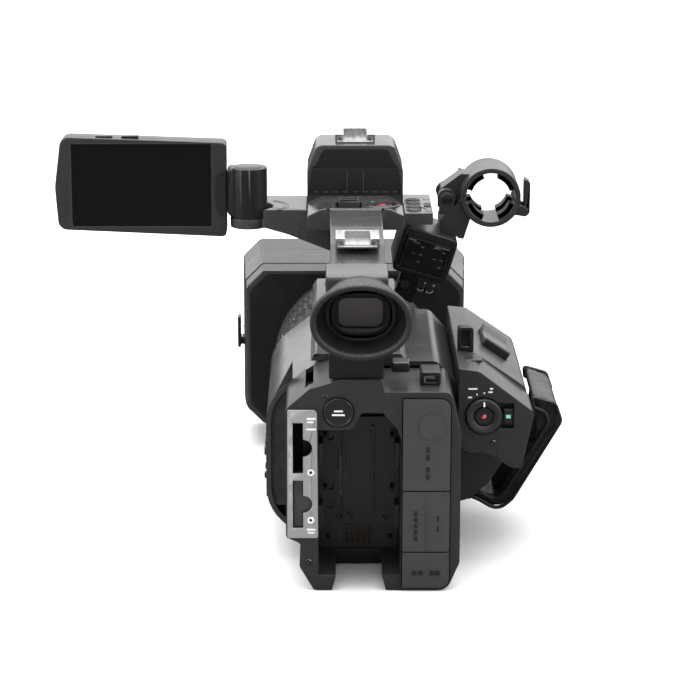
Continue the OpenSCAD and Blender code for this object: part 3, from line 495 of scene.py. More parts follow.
def applyModifiers(piece, smoothAngle=35):
    graph = bpy.context.evaluated_depsgraph_get()
    mesh = bpy.data.meshes.new_from_object(piece.evaluated_get(graph))
    piece.modifiers.clear()
    piece.data = mesh
    mesh.polygons.foreach_set("use_smooth", [True] * len(mesh.polygons))
    mesh.set_sharp_from_angle(angle=math.radians(smoothAngle))


def settle(piece, body, finish, stands=()):
    piece.data.materials.clear()
    piece.data.materials.append(finishes[finish])
    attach(piece, body)
    if stands:
        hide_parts(*stands)
    return piece


def bevelEdges(piece, width, segments=2, angle=32, smoothAngle=35, even=True):
    rounding = piece.modifiers.new("rounding", "BEVEL")
    rounding.width = width
    rounding.segments = segments
    rounding.limit_method = "ANGLE"
    rounding.angle_limit = math.radians(angle)
    rounding.use_clamp_overlap = False
    rounding.harden_normals = False
    applyModifiers(piece, smoothAngle)
    if even:
        piece.modifiers.new("evenShading", "WEIGHTED_NORMAL").keep_sharp = True


def softenNode(node, finish, edge):  # the CAD shape with its moulded edges rounded
    low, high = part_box(node)
    bm = bmesh.new()
    bm.from_mesh(nodes[node].data)
    bmesh.ops.remove_doubles(bm, verts=bm.verts, dist=0.004 * mm)
    bmesh.ops.dissolve_limit(bm, angle_limit=math.radians(0.6), verts=bm.verts, edges=bm.edges)
    bmesh.ops.triangulate(bm, faces=[face for face in bm.faces if len(face.verts) > 4])
    surface = BVHTree.FromBMesh(bm)
    piece = newPiece(node + "Shell", bm)
    sharp = piece.data.copy()
    for share in (1.0, 0.7, 0.45, 0.25, 0.12):  # the widest rounding that leaves few spikes
        piece.data = sharp.copy()
        bevelEdges(piece, edge * share * mm, even=False)
        reach = edge * share * mm * 0.8 + 0.02 * mm
        spikes = [vert for vert in piece.data.vertices if surface.find_nearest(vert.co)[3] > reach
                  or any(not low[axis] - 0.01 * mm < vert.co[axis] < high[axis] + 0.01 * mm
                         for axis in range(3))]
        if len(spikes) <= 10:  # those few are drawn back onto the shape
            for vert in spikes:
                vert.co = surface.find_nearest(vert.co)[0]
            break
    else:  # too fine to round, so it keeps its plain edges
        share = 0.0
        piece.data = sharp.copy()
        applyModifiers(piece, 35)
    if share < 1:
        print(node, "rounding", round(edge * share, 2), "mm")
    piece.modifiers.new("evenShading", "WEIGHTED_NORMAL").keep_sharp = True
    return settle(piece, bodyOf[node], finish, (node,))


def boxShape(bm, low, high, turn=None):
    made = bmesh.ops.create_cube(bm, size=1.0)["verts"]
    middle = (Vector(low) + Vector(high)) / 2
    size = Vector(high) - Vector(low)
    for vert in made:
        vert.co = Vector(vert.co[axis] * size[axis] for axis in range(3)) + middle
    if turn:
        about, angle, axis = turn
        bmesh.ops.rotate(bm, verts=made, cent=about, matrix=Matrix.Rotation(math.radians(angle), 3, axis))
    return made


def boxPiece(name, low, high, body, finish, edge=0.4, turn=None, segments=3):
    bm = bmesh.new()
    boxShape(bm, low, high, turn)
    piece = newPiece(name, bm)
    bevelEdges(piece, edge * mm, segments)
    return settle(piece, body, finish)


def boxesPiece(name, boxes, body, finish, edge=0.2):
    bm = bmesh.new()
    for low, high, *turn in boxes:
        boxShape(bm, low, high, turn[0] if turn else None)
    piece = newPiece(name, bm)
    bevelEdges(piece, edge * mm)
    return settle(piece, body, finish)


def axisFrame(centre, axis):  # maps a lathe's own z onto the axis
    return Matrix.Translation(centre) @ Vector(axis).to_track_quat("Z", "Y").to_matrix().to_4x4()


def latheShape(bm, profile, place, steps=64, start=0.0, sweep=360.0, wave=None):
    closed = abs(sweep - 360.0) < 0.01
    count = steps if closed else steps + 1
    rings = []
    for step in range(count):
        angle = math.radians(start + sweep * step / steps)
        ring = []
        for row, (radius, height) in enumerate(profile):
            reach = radius + (wave(row, step) if wave else 0.0)
            ring.append(bm.verts.new(place @ Vector((reach * math.cos(angle), reach * math.sin(angle),
                                                     height))))
        rings.append(ring)
    rows = len(profile)
    for step in range(steps):
        here, there = rings[step], rings[(step + 1) % count]
        for row in range(rows):
            nextRow = (row + 1) % rows
            bm.faces.new((here[row], here[nextRow], there[nextRow], there[row]))
    if not closed:
        bm.faces.new(rings[0])
        bm.faces.new(rings[-1][::-1])


def lathePiece(name, profile, place, body, finish, smoothAngle=35,
               **turned):  # the profile is in millimetres
    bm = bmesh.new()
    latheShape(bm, [(radius * mm, height * mm) for radius, height in profile], place, **turned)
    settle(newPiece(name, bm, smoothAngle), body, finish)


def discShape(bm, profile, place, steps=48):  # a lathed solid whose first and last rows close on the axis
    rings = []
    for radius, height in profile:
        rings.append([bm.verts.new(place @ Vector((radius * math.cos(2 * math.pi * step / steps),
                                                   radius * math.sin(2 * math.pi * step / steps), height)))
                      for step in range(steps)])
    for here, there in zip(rings, rings[1:]):
        for step in range(steps):
            bm.faces.new((here[step], here[(step + 1) % steps], there[(step + 1) % steps], there[step]))
    bm.faces.new(rings[0])
    bm.faces.new(rings[-1][::-1])


def discPiece(name, profile, centre, axis, body, finish, stands=(), steps=48, smoothAngle=40):
    bm = bmesh.new()
    discShape(bm, [(radius * mm, height * mm) for radius, height in profile], axisFrame(centre, axis),
              steps)
    return settle(newPiece(name, bm, smoothAngle), body, finish, stands)


def middleOf(node):
    low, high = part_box(node)
    return (low + high) / 2


# Moulded shells

shells = {
    "rear_cover": ("bodyPlastic", 0.3), "left_cover": ("sidePlastic", 0.15),
          "right_cover": ("bodyPlastic", 0.15),
    "base_plate": ("bodyPlastic", 0.12), "top_cover": ("deckPlastic", 0.6),
          "battery_plate": ("coverRubber", 0.2),
    "card_slot_plate": ("silverPaint", 0.21), "card_slots": ("blackPlastic", 0.15),
          "slot_shutter": ("coverRubber", 0.15),
    "av_cover": ("coverRubber", 0.6), "hdmi_cover": ("coverRubber", 0.5), "dc_cover": ("coverRubber", 0.6),
    "strap_hooks": ("buttonPlastic", 0.4), "handle_frame": ("bodyPlastic", 1.6),
          "handle_top": ("deckPlastic", 1.4),
    "accessory_shoes": ("satinMetal", 0.3), "lcd_base": ("deckPlastic", 0.8),
          "lcd_swivel": ("blackPlastic", 0.9),
    "lcd_back_cover": ("bodyPlastic", 0.9), "lcd_bezel": ("bodyPlastic", 0.6),
          "evf_support": ("blackPlastic", 0.5),
    "evf_housing": ("deckPlastic", 1.0), "xlr_box": ("blackPlastic", 0.7), "mic_base": ("bodyPlastic", 0.4),
    "mic_upper_jaw": ("bodyPlastic", 0.5), "mic_latch": ("bodyPlastic", 0.3),
          "grip_shell": ("gripPlastic", 1.2),
    "lens_hood": ("hoodPlastic", 0.7), "shutter_upper": ("blackPlastic", 0.3),
          "shutter_lower": ("blackPlastic", 0.3),
    "shutter_lever": ("buttonPlastic", 0.4), "lens_barrel": ("blackPlastic", 0.5),
          "zoom_rocker": ("buttonPlastic", 0.5),
    "handle_zoom_lever": ("deckPlastic", 0.5), "dial_lock": ("buttonPlastic", 0.3),
          "battery_latch": ("darkMetal", 0.3),
    "battery_terminals": ("brassContact", 0.15), "jacks": ("satinMetal", 0.15),
          "xlr_sockets": ("satinMetal", 0.2),
}

for node, (finish, edge) in shells.items():
    softenNode(node, finish, edge)

plainNodes = {"tripod_socket": "satinMetal", "evf_pin": "satinMetal", "main_board": "circuitBoard",
              "sensor_block": "darkMetal", "lcd_glass": "screenGloss", "evf_lens": "eyeGlass",
              "xlr_cover": "smokeCover"}
for node, finish in plainNodes.items():
    nodes[node].data.materials.clear()
    nodes[node].data.materials.append(finishes[finish])
print("shells ready:", len(shells))


# Places measured from the rear panel, in millimetres
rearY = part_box("rear_cover")[0].y


def spot(x, y, z):
    return Vector((x * mm, rearY + y * mm, z * mm))


def screwPiece(name, centre, axis, body, radius=1.7):
    place = axisFrame(centre, axis)
    bm = bmesh.new()
    discShape(bm, [(radius * mm, -0.5 * mm), (radius * mm, 0.12 * mm), (radius * 0.86 * mm, 0.3 * mm),
                   (radius * 0.62 * mm, 0.3 * mm), (radius * 0.5 * mm, 0.02 * mm), (0.02 * mm, 0.0)], place,
              28)
    for turn in (0, 90):
        made = boxShape(bm, (-radius * 0.5 * mm, -0.16 * mm, -0.1 * mm),
                        (radius * 0.5 * mm, 0.16 * mm, 0.1 * mm))
        bmesh.ops.transform(bm, verts=made, matrix=place @ Matrix.Rotation(math.radians(turn + 20), 4, "Z"))
    return settle(newPiece(name, bm), body, "darkMetal")


# Battery release button: dished face inside a raised rim
releaseButton = {"radius": 7.3, "rim": 1.1, "proud": 1.2, "dish": 0.35}


def addReleaseButton(size):
    centre = middleOf("battery_release_button")
    centre.y = rearY
    radius, rim, proud = size["radius"], size["rim"], size["proud"]
    discPiece("releaseCap", [(radius, -4.3), (radius, proud - 0.5), (radius - 0.2, proud - 0.15),
                             (radius - 0.5, proud),
              (radius - rim + 0.2, proud), (radius - rim, proud - 0.2),
                             (radius - rim - 0.3, proud - size["dish"]),
              (0.02, proud - size["dish"] - 0.15)], centre, (0, -1, 0), "battery_release", "buttonPlastic",
              ("battery_release_button",), 64)
    face = centre - Vector((0, (proud - size["dish"] + 0.02) * mm, 0))
    marks = []
    for row, width in ((0.9, 2.1), (-1.0, 3.1)):
        marks.append((face + Vector((-width * mm, -0.06 * mm, (row - 0.45) * mm)),
                      face + Vector((width * mm, 0.1 * mm, (row + 0.45) * mm))))
    boxesPiece("releaseMarks", marks, "battery_release", "whitePrint", 0.05)


addReleaseButton(releaseButton)


# Battery bay: blank label, arrow, guide pins, screws
bayDetails = {"screws": ((-9.5, 24.4), (13.6, 24.2), (-4.0, 25.8)), "pins": ((-15.2, 14.5), (15.6, 14.5)),
              "labelWidth": 5.0, "labelHeight": 21.0, "labelX": -7.2, "labelZ": 46.0}


def addBayDetails(size):
    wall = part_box("battery_plate")[1].y - 3 * mm  # the plate's rear face
    x, z = size["labelX"] * mm, size["labelZ"] * mm
    half, tall = size["labelWidth"] * mm / 2, size["labelHeight"] * mm / 2
    boxPiece("bayLabel", (x - half, wall - 0.12 * mm, z - tall), (x + half, wall + 0.1 * mm, z + tall),
             "camera", "deckPlastic", 0.08)
    edge = 0.25 * mm
    frameBars = [((x - half, wall - 0.2 * mm, z + side * tall - edge),
                  (x + half, wall, z + side * tall + edge)) for side in (-1, 1)]
    frameBars += [((x + side * half - edge, wall - 0.2 * mm, z - tall),
                   (x + side * half + edge, wall, z + tall)) for side in (-1, 1)]
    frameBars += [((x - 0.5 * mm, wall - 0.19 * mm, z + step * mm),
                   (x + 0.5 * mm, wall, z + (step + 1.4) * mm))
                  for step in (-7, -4.6, -2.2, 0.2, 2.6, 5.0)]
    boxesPiece("bayLabelLines", frameBars, "camera", "sidePlastic", 0.06)
    arrow = []
    for side in (-1, 1):
        arrow.append(((x - 0.2 * mm, wall - 0.2 * mm, z + tall + 2.4 * mm),
                      (x + 0.2 * mm, wall, z + tall + 6.0 * mm),
                      (Vector((x, wall, z + tall + 2.4 * mm)), side * 40, "Y")))
    arrow.append(((x - 0.9 * mm, wall - 0.2 * mm, z + tall + 5.4 * mm),
                  (x + 0.9 * mm, wall, z + tall + 8.4 * mm)))
    boxesPiece("bayArrow", arrow, "camera", "sidePlastic", 0.06)
    pads = [((x * mm, wall - 0.5 * mm, 79.4 * mm), ((x + 2.2) * mm, wall, 81.4 * mm)) for x in (-9.6, -6.0)]
    boxesPiece("bayStops", pads, "camera", "sidePlastic", 0.2)
    for index, (x, z) in enumerate(size["screws"]):
        screwPiece("bayScrew%d" % index, Vector((x * mm, wall, z * mm)), (0, -1, 0), "camera", 1.5)
    for index, (x, z) in enumerate(size["pins"]):
        discPiece("bayPin%d" % index, [(1.1, -0.4), (1.1, 1.6), (0.7, 2.2), (0.02, 2.4)],
                  Vector((x * mm, wall, z * mm)),
                  (0, -1, 0), "camera", "blackPlastic", steps=24)
    hooks = [((x * mm, wall - 6.0 * mm, z * mm), ((x + 1.8) * mm, wall, (z + 1.6) * mm))
             for x in (-17.4, 15.8) for z in (67.0, 40.0)]
    boxesPiece("bayGuides", hooks, "camera", "blackPlastic", 0.3)


addBayDetails(bayDetails)


# Rear panel: screws, marks beside the card slots, raised lines on the jack covers
rearPanel = {"screwRadius": 1.35, "markDepth": 0.06, "embossDepth": 0.4}


def addRearPanel(size):
    for index, (x, z) in enumerate(((-16.4, 97.9), (-24.6, 14.6))):
        screwPiece("rearScrew%d" % index, spot(x, 0, z), (0, -1, 0), "camera", size["screwRadius"])
    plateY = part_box("card_slot_plate")[0].y
    thin = size["markDepth"] * mm
    marks = []
    for x, z, wide, tall in ((-23.2, 87.6, 4.4, 1.0), (-23.6, 85.9, 3.2, 0.9), (-23.2, 82.3, 4.6, 0.9),
                             (-23.3, 31.6, 4.2, 1.0),
                             (-23.3, 30.0, 3.4, 0.8)):
        marks.append((Vector(((x - wide / 2) * mm, plateY - thin, (z - tall / 2) * mm)),
                      Vector(((x + wide / 2) * mm, plateY + 0.1 * mm, (z + tall / 2) * mm))))
    boxesPiece("slotMarks", marks, "camera", "whitePrint", 0.03)
    for index, z in enumerate((60.6, 36.4)):
        discPiece("slotDot%d" % index, [(1.7, -0.1), (1.7, 0.05), (0.02, 0.07)],
                  Vector((-23.4 * mm, plateY, z * mm)),
                  (0, -1, 0), "camera", "whitePrint", steps=28)
        discPiece("slotDotCentre%d" % index, [(0.8, 0.0), (0.8, 0.08), (0.02, 0.1)],
                  Vector((-23.4 * mm, plateY, z * mm)),
                  (0, -1, 0), "camera", "coverRubber", steps=20)


def addNotchCap():  # the lower slot's notch is closed as well
    low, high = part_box("slot_shutter")
    boxPiece("topClasp", spot(15.6, 14, 106.2), spot(24.4, 24, 111.4), "camera", "buttonPlastic", 1.2)
    boxesPiece("claspSlots", [(spot(17.4, 13.8, 107.6), spot(19.2, 14.6, 109.8)),
                              (spot(20.8, 13.8, 107.6), spot(22.6, 14.6, 109.8))],
               "camera", "padRubber", 0.2)
    discPiece("notchCap", [(4.15, -0.8), (4.15, -0.1), (4.0, 0.03), (0.02, 0.03)],
              Vector((high.x + 0.3 * mm, low.y, (low.z + high.z) / 2)), (0, -1, 0), "slot_shutter",
              "coverRubber", steps=40)


def addCoverRelief(size):
    deep = size["embossDepth"] * mm
    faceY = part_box("dc_cover")[0].y
    # The raised bars take a darker finish than the cover: painted shade round the embossed marks.
    letters = [(33.0, z, 1.6, 2.6) for z in (58.2, 62.0, 68.2, 72.0)]  # a vertical row of blank bars
    boxesPiece("avRelief", raisedBars(letters, faceY, deep), "av_cover", "ringRubberAndReliefShade", 0.1)
    jackCentre = spot(34.8, 0, 83.4)
    jackCentre.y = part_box("av_cover")[0].y
    lathePiece("avRing", [(5.7, -0.1), (5.9, 0.14), (6.2, 0.14), (6.38, -0.1)],
               axisFrame(jackCentre, (0, -1, 0)), "av_cover", "coverRubber", steps=56)
    letters = [(27.4, z, 1.7, 2.0) for z in (27.0, 30.2, 33.4, 36.6, 39.8)] + [(38.2, z, 0.8, 2.6)
                                                                               for z in (32.0, 37.0)]
    boxesPiece("hdmiRelief", raisedBars(letters, faceY, deep), "hdmi_cover", "ringRubberAndReliefShade", 0.1)
    letters = [(x, 9.4, 2.0, 2.2) for x in (26.8, 30.0, 35.4, 38.2)]
    boxesPiece("dcRelief", raisedBars(letters, faceY, deep), "dc_cover", "ringRubberAndReliefShade", 0.1)
    for name, body, z in (("avLip", "av_cover", 53.4), ("hdmiLip", "hdmi_cover", 48.9),
                          ("dcLip", "dc_cover", 17.8)):
        boxesPiece(name, raisedBars([(41.8, z, 2.4, 0.9)], faceY, deep), body, "coverRubber", 0.1)


def raisedBars(bars, faceY, deep):
    return [(Vector(((x - wide / 2) * mm, faceY - deep, (z - tall / 2) * mm)),
             Vector(((x + wide / 2) * mm, faceY + 0.1 * mm, (z + tall / 2) * mm))) for x, z, wide,
            tall in bars]


addRearPanel(rearPanel)
addNotchCap()
addCoverRelief(rearPanel)
print("rear panel ready")


# Lens control rings: ribbed bands between plain rims
lensRings = {"iris_ring": {"ribs": 60, "depth": 0.5, "finish": "blackPlastic", "bands": 1},
             "zoom_ring": {"ribs": 48, "depth": 1.1, "finish": "ringRubberAndReliefShade", "bands": 1},
             "focus_ring": {"ribs": 72, "depth": 0.8, "finish": "ringRubberAndReliefShade", "bands": 2}}


def addLensRing(node, look):
    low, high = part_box(node)
    centre = middleOf(node)
    centre.y = low.y
    width, outer = high.y - low.y, (high.x - low.x) / 2
    inner = outer - 5.15 * mm
    rim, groove = 1.6 * mm, 0.5 * mm
    profile, ribbed = [(inner, 0.0), (outer - 0.8 * mm, 0.0), (outer - 0.3 * mm, 0.4 * mm),
                       (outer - 0.3 * mm, rim)], set()
    bandWidth = (width - 2 * rim - (look["bands"] - 1) * 2 * rim) / look["bands"]
    for band in range(look["bands"]):
        start = rim + band * (bandWidth + 2 * rim)
        for offset, reach, wavy in ((groove, outer - 0.9 * mm, False),
                                    (groove * 1.6, outer - 0.1 * mm, True),
                                    (bandWidth - groove * 1.6, outer - 0.1 * mm, True),
                                    (bandWidth - groove, outer - 0.9 * mm, False),
                                    (bandWidth, outer - 0.3 * mm, False)):
            if wavy:
                ribbed.add(len(profile))
            profile.append((reach, start + offset))
        if band + 1 < look["bands"]:
            profile.append((outer - 0.3 * mm, start + bandWidth + 2 * rim))
    profile += [(outer - 0.3 * mm, width - 0.4 * mm), (outer - 0.8 * mm, width), (inner, width)]

    def rib(row, step):
        return -look["depth"] * mm if row in ribbed and step % 4 in (2, 3) else 0.0

    bm = bmesh.new()
    latheShape(bm, profile, axisFrame(centre, (0, 1, 0)), look["ribs"] * 4, wave=rib)
    ring = settle(newPiece(node + "Grip", bm, 28), bodyOf[node], look["finish"], (node,))
    dot = bmesh.new()
    for angle in (112, 118, 127, 139, 154):
        made = boxShape(dot, (outer - 0.5 * mm, low.y + 0.3 * mm, -0.22 * mm),
                        (outer - 0.24 * mm, low.y + rim - 0.2 * mm, 0.22 * mm))
        bmesh.ops.rotate(dot, verts=made, cent=(0, 0, 0),
                         matrix=Matrix.Rotation(math.radians(-angle), 3, "Y"))
        bmesh.ops.translate(dot, verts=made, vec=(centre.x, 0, centre.z))
    settle(newPiece(node + "Ticks", dot), bodyOf[node], "whitePrint")
    return ring


for node, look in lensRings.items():
    addLensRing(node, look)


# Front lens: domed glass in a stepped black mount
frontLens = {"dome": 4.0, "steps": 10, "mountDepth": 20.0}


def addFrontLens(look):
    low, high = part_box("front_lens")
    centre, radius = middleOf("front_lens"), (high.x - low.x) / 2
    centre.y = low.y
    thick = high.y - low.y - look["dome"] * mm
    profile = [(radius, 0.0), (radius, thick)]
    for step in range(1, look["steps"]):
        angle = math.radians(90 * step / look["steps"])
        profile.append(((radius - 1 * mm) * math.cos(angle), thick + look["dome"] * mm * math.sin(angle)))
    profile.append((0.02 * mm, thick + look["dome"] * mm))
    bm = bmesh.new()
    discShape(bm, [(0.02 * mm, 0.0)] + profile, axisFrame(centre, (0, 1, 0)), 72)
    settle(newPiece("frontElement", bm, 30), "camera", "lensGlass", ("front_lens",))
    baffle = [(radius - 0.05 * mm, -look["mountDepth"] * mm)]
    for step in range(9):
        height = (-look["mountDepth"] + step * 2.1) * mm
        inside = radius - (7.0 - step * 0.6) * mm
        baffle += [(inside, height), (inside, height + 0.9 * mm), (inside + 0.6 * mm, height + 1.0 * mm)]
    baffle.append((radius - 0.05 * mm, -0.3 * mm))
    bm = bmesh.new()
    latheShape(bm, baffle, axisFrame(centre, (0, 1, 0)), 72)
    settle(newPiece("lensBaffle", bm, 30), "camera", "blackPlastic")
    for index, (depth, size, dome) in enumerate(((-24.0, 0.74, 3.0), (-42.0, 0.55, 2.2))):
        inner = radius * size / mm
        profile = [(0.02, 0.0), (inner, 0.0), (inner, 2.0), (inner * 0.7, 2.0 + dome * 0.5),
                   (inner * 0.35, 2.0 + dome * 0.88),
                   (0.02, 2.0 + dome)]
        discPiece("innerElement%d" % index, profile, centre + Vector((0, depth * mm, 0)), (0, 1, 0),
                  "camera", "lensGlass", steps=56)
        bm = bmesh.new()
        latheShape(bm, [(inner * mm, 0.0), (radius - 0.1 * mm, 0.0), (radius - 0.1 * mm, 2.0 * mm),
                        (inner * mm, 2.0 * mm)],
                   axisFrame(centre + Vector((0, depth * mm, 0)), (0, 1, 0)), 56)
        settle(newPiece("elementMount%d" % index, bm), "camera", "blackPlastic")


addFrontLens(frontLens)
print("lens ready")


# Outlines and lofts
def roundedOutline(corners, steps=4):  # corners are (across, up, radius), in millimetres
    points = []
    for index, (across, up, radius) in enumerate(corners):
        here = Vector((across, up))
        before = (Vector(corners[index - 1][:2]) - here).normalized()
        after = (Vector(corners[(index + 1) % len(corners)][:2]) - here).normalized()
        if radius == 0:
            points.append(here)
            continue
        half = before.angle(after) / 2
        centre = here + (before + after).normalized() * radius / math.sin(half)
        first = here + before * radius / math.tan(half) - centre
        turn = first.angle_signed(here + after * radius / math.tan(half) - centre)
        for step in range(steps + 1):
            angle = -turn * step / steps
            points.append(centre + Vector((first.x * math.cos(angle) - first.y * math.sin(angle),
                                           first.x * math.sin(angle) + first.y * math.cos(angle))))
    return points


def loftShape(bm, sections, ring=False):
    rows = [[bm.verts.new(point) for point in section] for section in sections]
    count = len(rows[0])
    pairs = list(zip(rows, rows[1:])) + ([(rows[-1], rows[0])] if ring else [])
    for here, there in pairs:
        for index in range(count):
            follow = (index + 1) % count
            bm.faces.new((here[index], here[follow], there[follow], there[index]))
    if not ring:
        bm.faces.new(rows[0])
        bm.faces.new(rows[-1][::-1])


def platePiece(name, corners, y, body, finish, edge=0.2, place=None):  # an outline in XZ drawn out along Y
    outline = roundedOutline(corners)
    bm = bmesh.new()
    loftShape(bm, [[spot(point.x, depth, point.y) for point in outline] for depth in y])
    if place:
        bmesh.ops.transform(bm, verts=bm.verts, matrix=place)
    piece = newPiece(name, bm)
    bevelEdges(piece, edge * mm)
    return settle(piece, body, finish)


# Eyecup: an oval rubber bell with a rolled lip, and the framed window inside it
eyecup = {"lip": 1.0, "windowWidth": 20.4, "windowHeight": 14.2, "ledge": 8.5, "corner": 6.0, "steps": 72}


def addEyecup(look):
    low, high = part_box("eyecup")
    centre = middleOf("eyecup")
    wide, tall, deep = ((high[axis] - low[axis]) / mm for axis in (0, 2, 1))
    half, up, lip = wide / 2, tall / 2, look["lip"]
    back, front = low.y, high.y
    window = (look["windowWidth"] / 2, look["windowHeight"] / 2)
    rows = [(half * 0.77, up * 0.955, deep - 0.3, 2), (half * 0.785, up * 0.955, deep - 2.0, 2),
            (half * 0.8, up * 0.95, deep - 4.5, 2),
            (half * 0.84, up * 0.955, deep - 9.0, 2), (half * 0.93, up * 0.975, deep * 0.36, 2),
            (half * 0.985, up * 0.99, deep * 0.2, 2.1), (half, up, lip * 2.2, 2.1),
            (half - 0.15, up - 0.15, lip, 2.1),
            (half - 0.5, up - 0.5, lip * 0.35, 2.1), (half - 1.2, up - 1.2, 0.02, 2.1),
            (half - 2.0, up - 2.0, 0.1, 2.1),
            (half - 2.8, up - 2.8, lip * 0.6, 2.1), (half - 3.2, up - 3.2, lip * 1.5, 2.1),
            (half - 3.1, up - 3.1, lip * 3, 2.1),
            (half - 3.7, up - 3.5, deep * 0.24, 2.1), (half - 5.2, up - 4.3, deep * 0.42, 2.1),
            (half - 6.6, up - 5.0, deep * 0.6, 2.1),
            (half - 7.4, up - 5.4, look["ledge"] + deep * 0.34, 2.2),
            (half - 8.6, up - 6.2, look["ledge"] + deep * 0.35, 2.2),
            (window[0] + 3.6, window[1] + 3.0, look["ledge"] + deep * 0.35, 3),
            (window[0] + 3.0, window[1] + 2.4, deep * 0.78, 3),
            (window[0] + 0.9, window[1] + 0.9, deep * 0.8, look["corner"]),
            (window[0] + 0.2, window[1] + 0.2, deep * 0.82, look["corner"]),
            (window[0], window[1], deep - 0.8, look["corner"]), (half * 0.72, up * 0.9, deep - 0.3, 2)]
    sections = []
    for across, height, depth, power in rows:
        section = []
        for step in range(look["steps"]):
            angle = 2 * math.pi * step / look["steps"]
            c, s = math.cos(angle), math.sin(angle)
            section.append(Vector((centre.x + across * mm * math.copysign(abs(c) ** (2 / power), c), back
                                   + depth * mm,
                                   centre.z + height * mm * math.copysign(abs(s) ** (2 / power), s))))
        sections.append(section)
    bm = bmesh.new()
    loftShape(bm, sections, ring=True)
    cup = newPiece("eyecupRubber", bm, 60)
    rounder = cup.modifiers.new("rounder", "SUBSURF")
    rounder.levels = rounder.render_levels = 1
    applyModifiers(cup, 60)
    settle(cup, "eyepiece", "cupRubber", ("eyecup",))
    liner = sections[13:23]  # a smooth black lining from the lip to the window
    bm = bmesh.new()
    inward = [[point.lerp(Vector((centre.x, point.y, centre.z)), 0.012) for point in section]
              for section in liner]
    loftShape(bm, inward + liner[::-1], ring=True)
    lining = newPiece("eyecupLining", bm, 60)
    settle(lining, "eyepiece", "blackPlastic")
    paneY = back + (deep - 1.6) * mm
    across, height, cut = window[0] + 0.1, window[1] + 0.1, 2.6
    outline = [(-across + cut, -height), (across - cut, -height), (across, -height + cut),
               (across, height - cut),
               (across - cut, height), (-across + cut, height), (-across, height - cut),
               (-across, -height + cut)]
    bm = bmesh.new()
    loftShape(bm, [[Vector((centre.x + x * mm, paneY + depth * mm, centre.z + z * mm)) for x, z in outline]
                   for depth in (0, 1.0)])
    settle(newPiece("finderPane", bm), "eyepiece", "eyeGlass")
    bm = bmesh.new()
    frameLoop = []
    for grow, depth in ((0.0, 0.3), (0.0, -0.5), (1.5, -0.5), (1.5, 0.3)):
        frameLoop.append([Vector((centre.x + (x + math.copysign(grow, x)) * mm, paneY + depth * mm,
                                  centre.z + (z + math.copysign(grow, z)) * mm)) for x, z in outline])
    loftShape(bm, frameLoop, ring=True)
    settle(newPiece("finderFrame", bm), "eyepiece", "blackPlastic")
    bm = bmesh.new()
    loop = [(0.0, 0.0), (0.5, 0.15), (0.5, 0.9), (0.0, 1.05)]
    collar = []
    for proud, depth in loop:
        reachX = (half * 0.78 + proud) * mm
        reachZ = (up * 0.955 + proud * 0.3) * mm
        y = front + (depth - 4.0) * mm
        angles = [2 * math.pi * step / 72 for step in range(72)]
        collar.append([Vector((centre.x + reachX * math.cos(turn), y, centre.z + reachZ * math.sin(turn)))
                       for turn in angles])
    loftShape(bm, collar, ring=True)
    settle(newPiece("eyecupSeam", bm, 50), "eyepiece", "padRubber")


addEyecup(eyecup)


# Viewfinder body: side screws, focusing lever, seam
viewfinder = {"leverLength": 7.0, "seam": 0.35}


def addViewfinder(look):
    low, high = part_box("evf_housing")
    y = low.y + 26 * mm
    boxPiece("focusLever", (high.x - 0.5 * mm, low.y + 12 * mm, low.z + 3 * mm),
             (high.x + 1.8 * mm, low.y + (12 + look["leverLength"]) * mm, low.z + 7.5 * mm), "eyepiece",
             "buttonPlastic", 0.6)
    boxPiece("finderSeam", (low.x + 3 * mm, y, high.z - 2.4 * mm),
             (high.x - 3 * mm, y + look["seam"] * mm, high.z - 2.0 * mm),
             "eyepiece", "padRubber", 0.05)
    for index, side in enumerate((-1, 1)):
        edgeX = low.x if side < 0 else high.x
        screwPiece("finderScrew%d" % index, Vector((edgeX, low.y + 28 * mm, low.z + 24 * mm)), (side, 0, 0),
                   "eyepiece", 1.4)
    pinLow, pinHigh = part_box("evf_pin")
    for index, (edgeX, side) in enumerate(((pinLow.x, -1), (pinHigh.x, 1))):
        discPiece("finderCap%d" % index, [(4.6, -0.2), (4.6, 0.7), (4.0, 1.2), (0.02, 1.3)],
                  Vector((edgeX, middleOf("evf_pin").y, middleOf("evf_pin").z)), (side, 0, 0), "camera",
                  "buttonPlastic", steps=36)


addViewfinder(viewfinder)
print("eyepiece ready")


# Power dial with its record button, index mark and lock
powerDial = {"knurls": 40, "tickLength": 2.6, "redDot": 1.15}


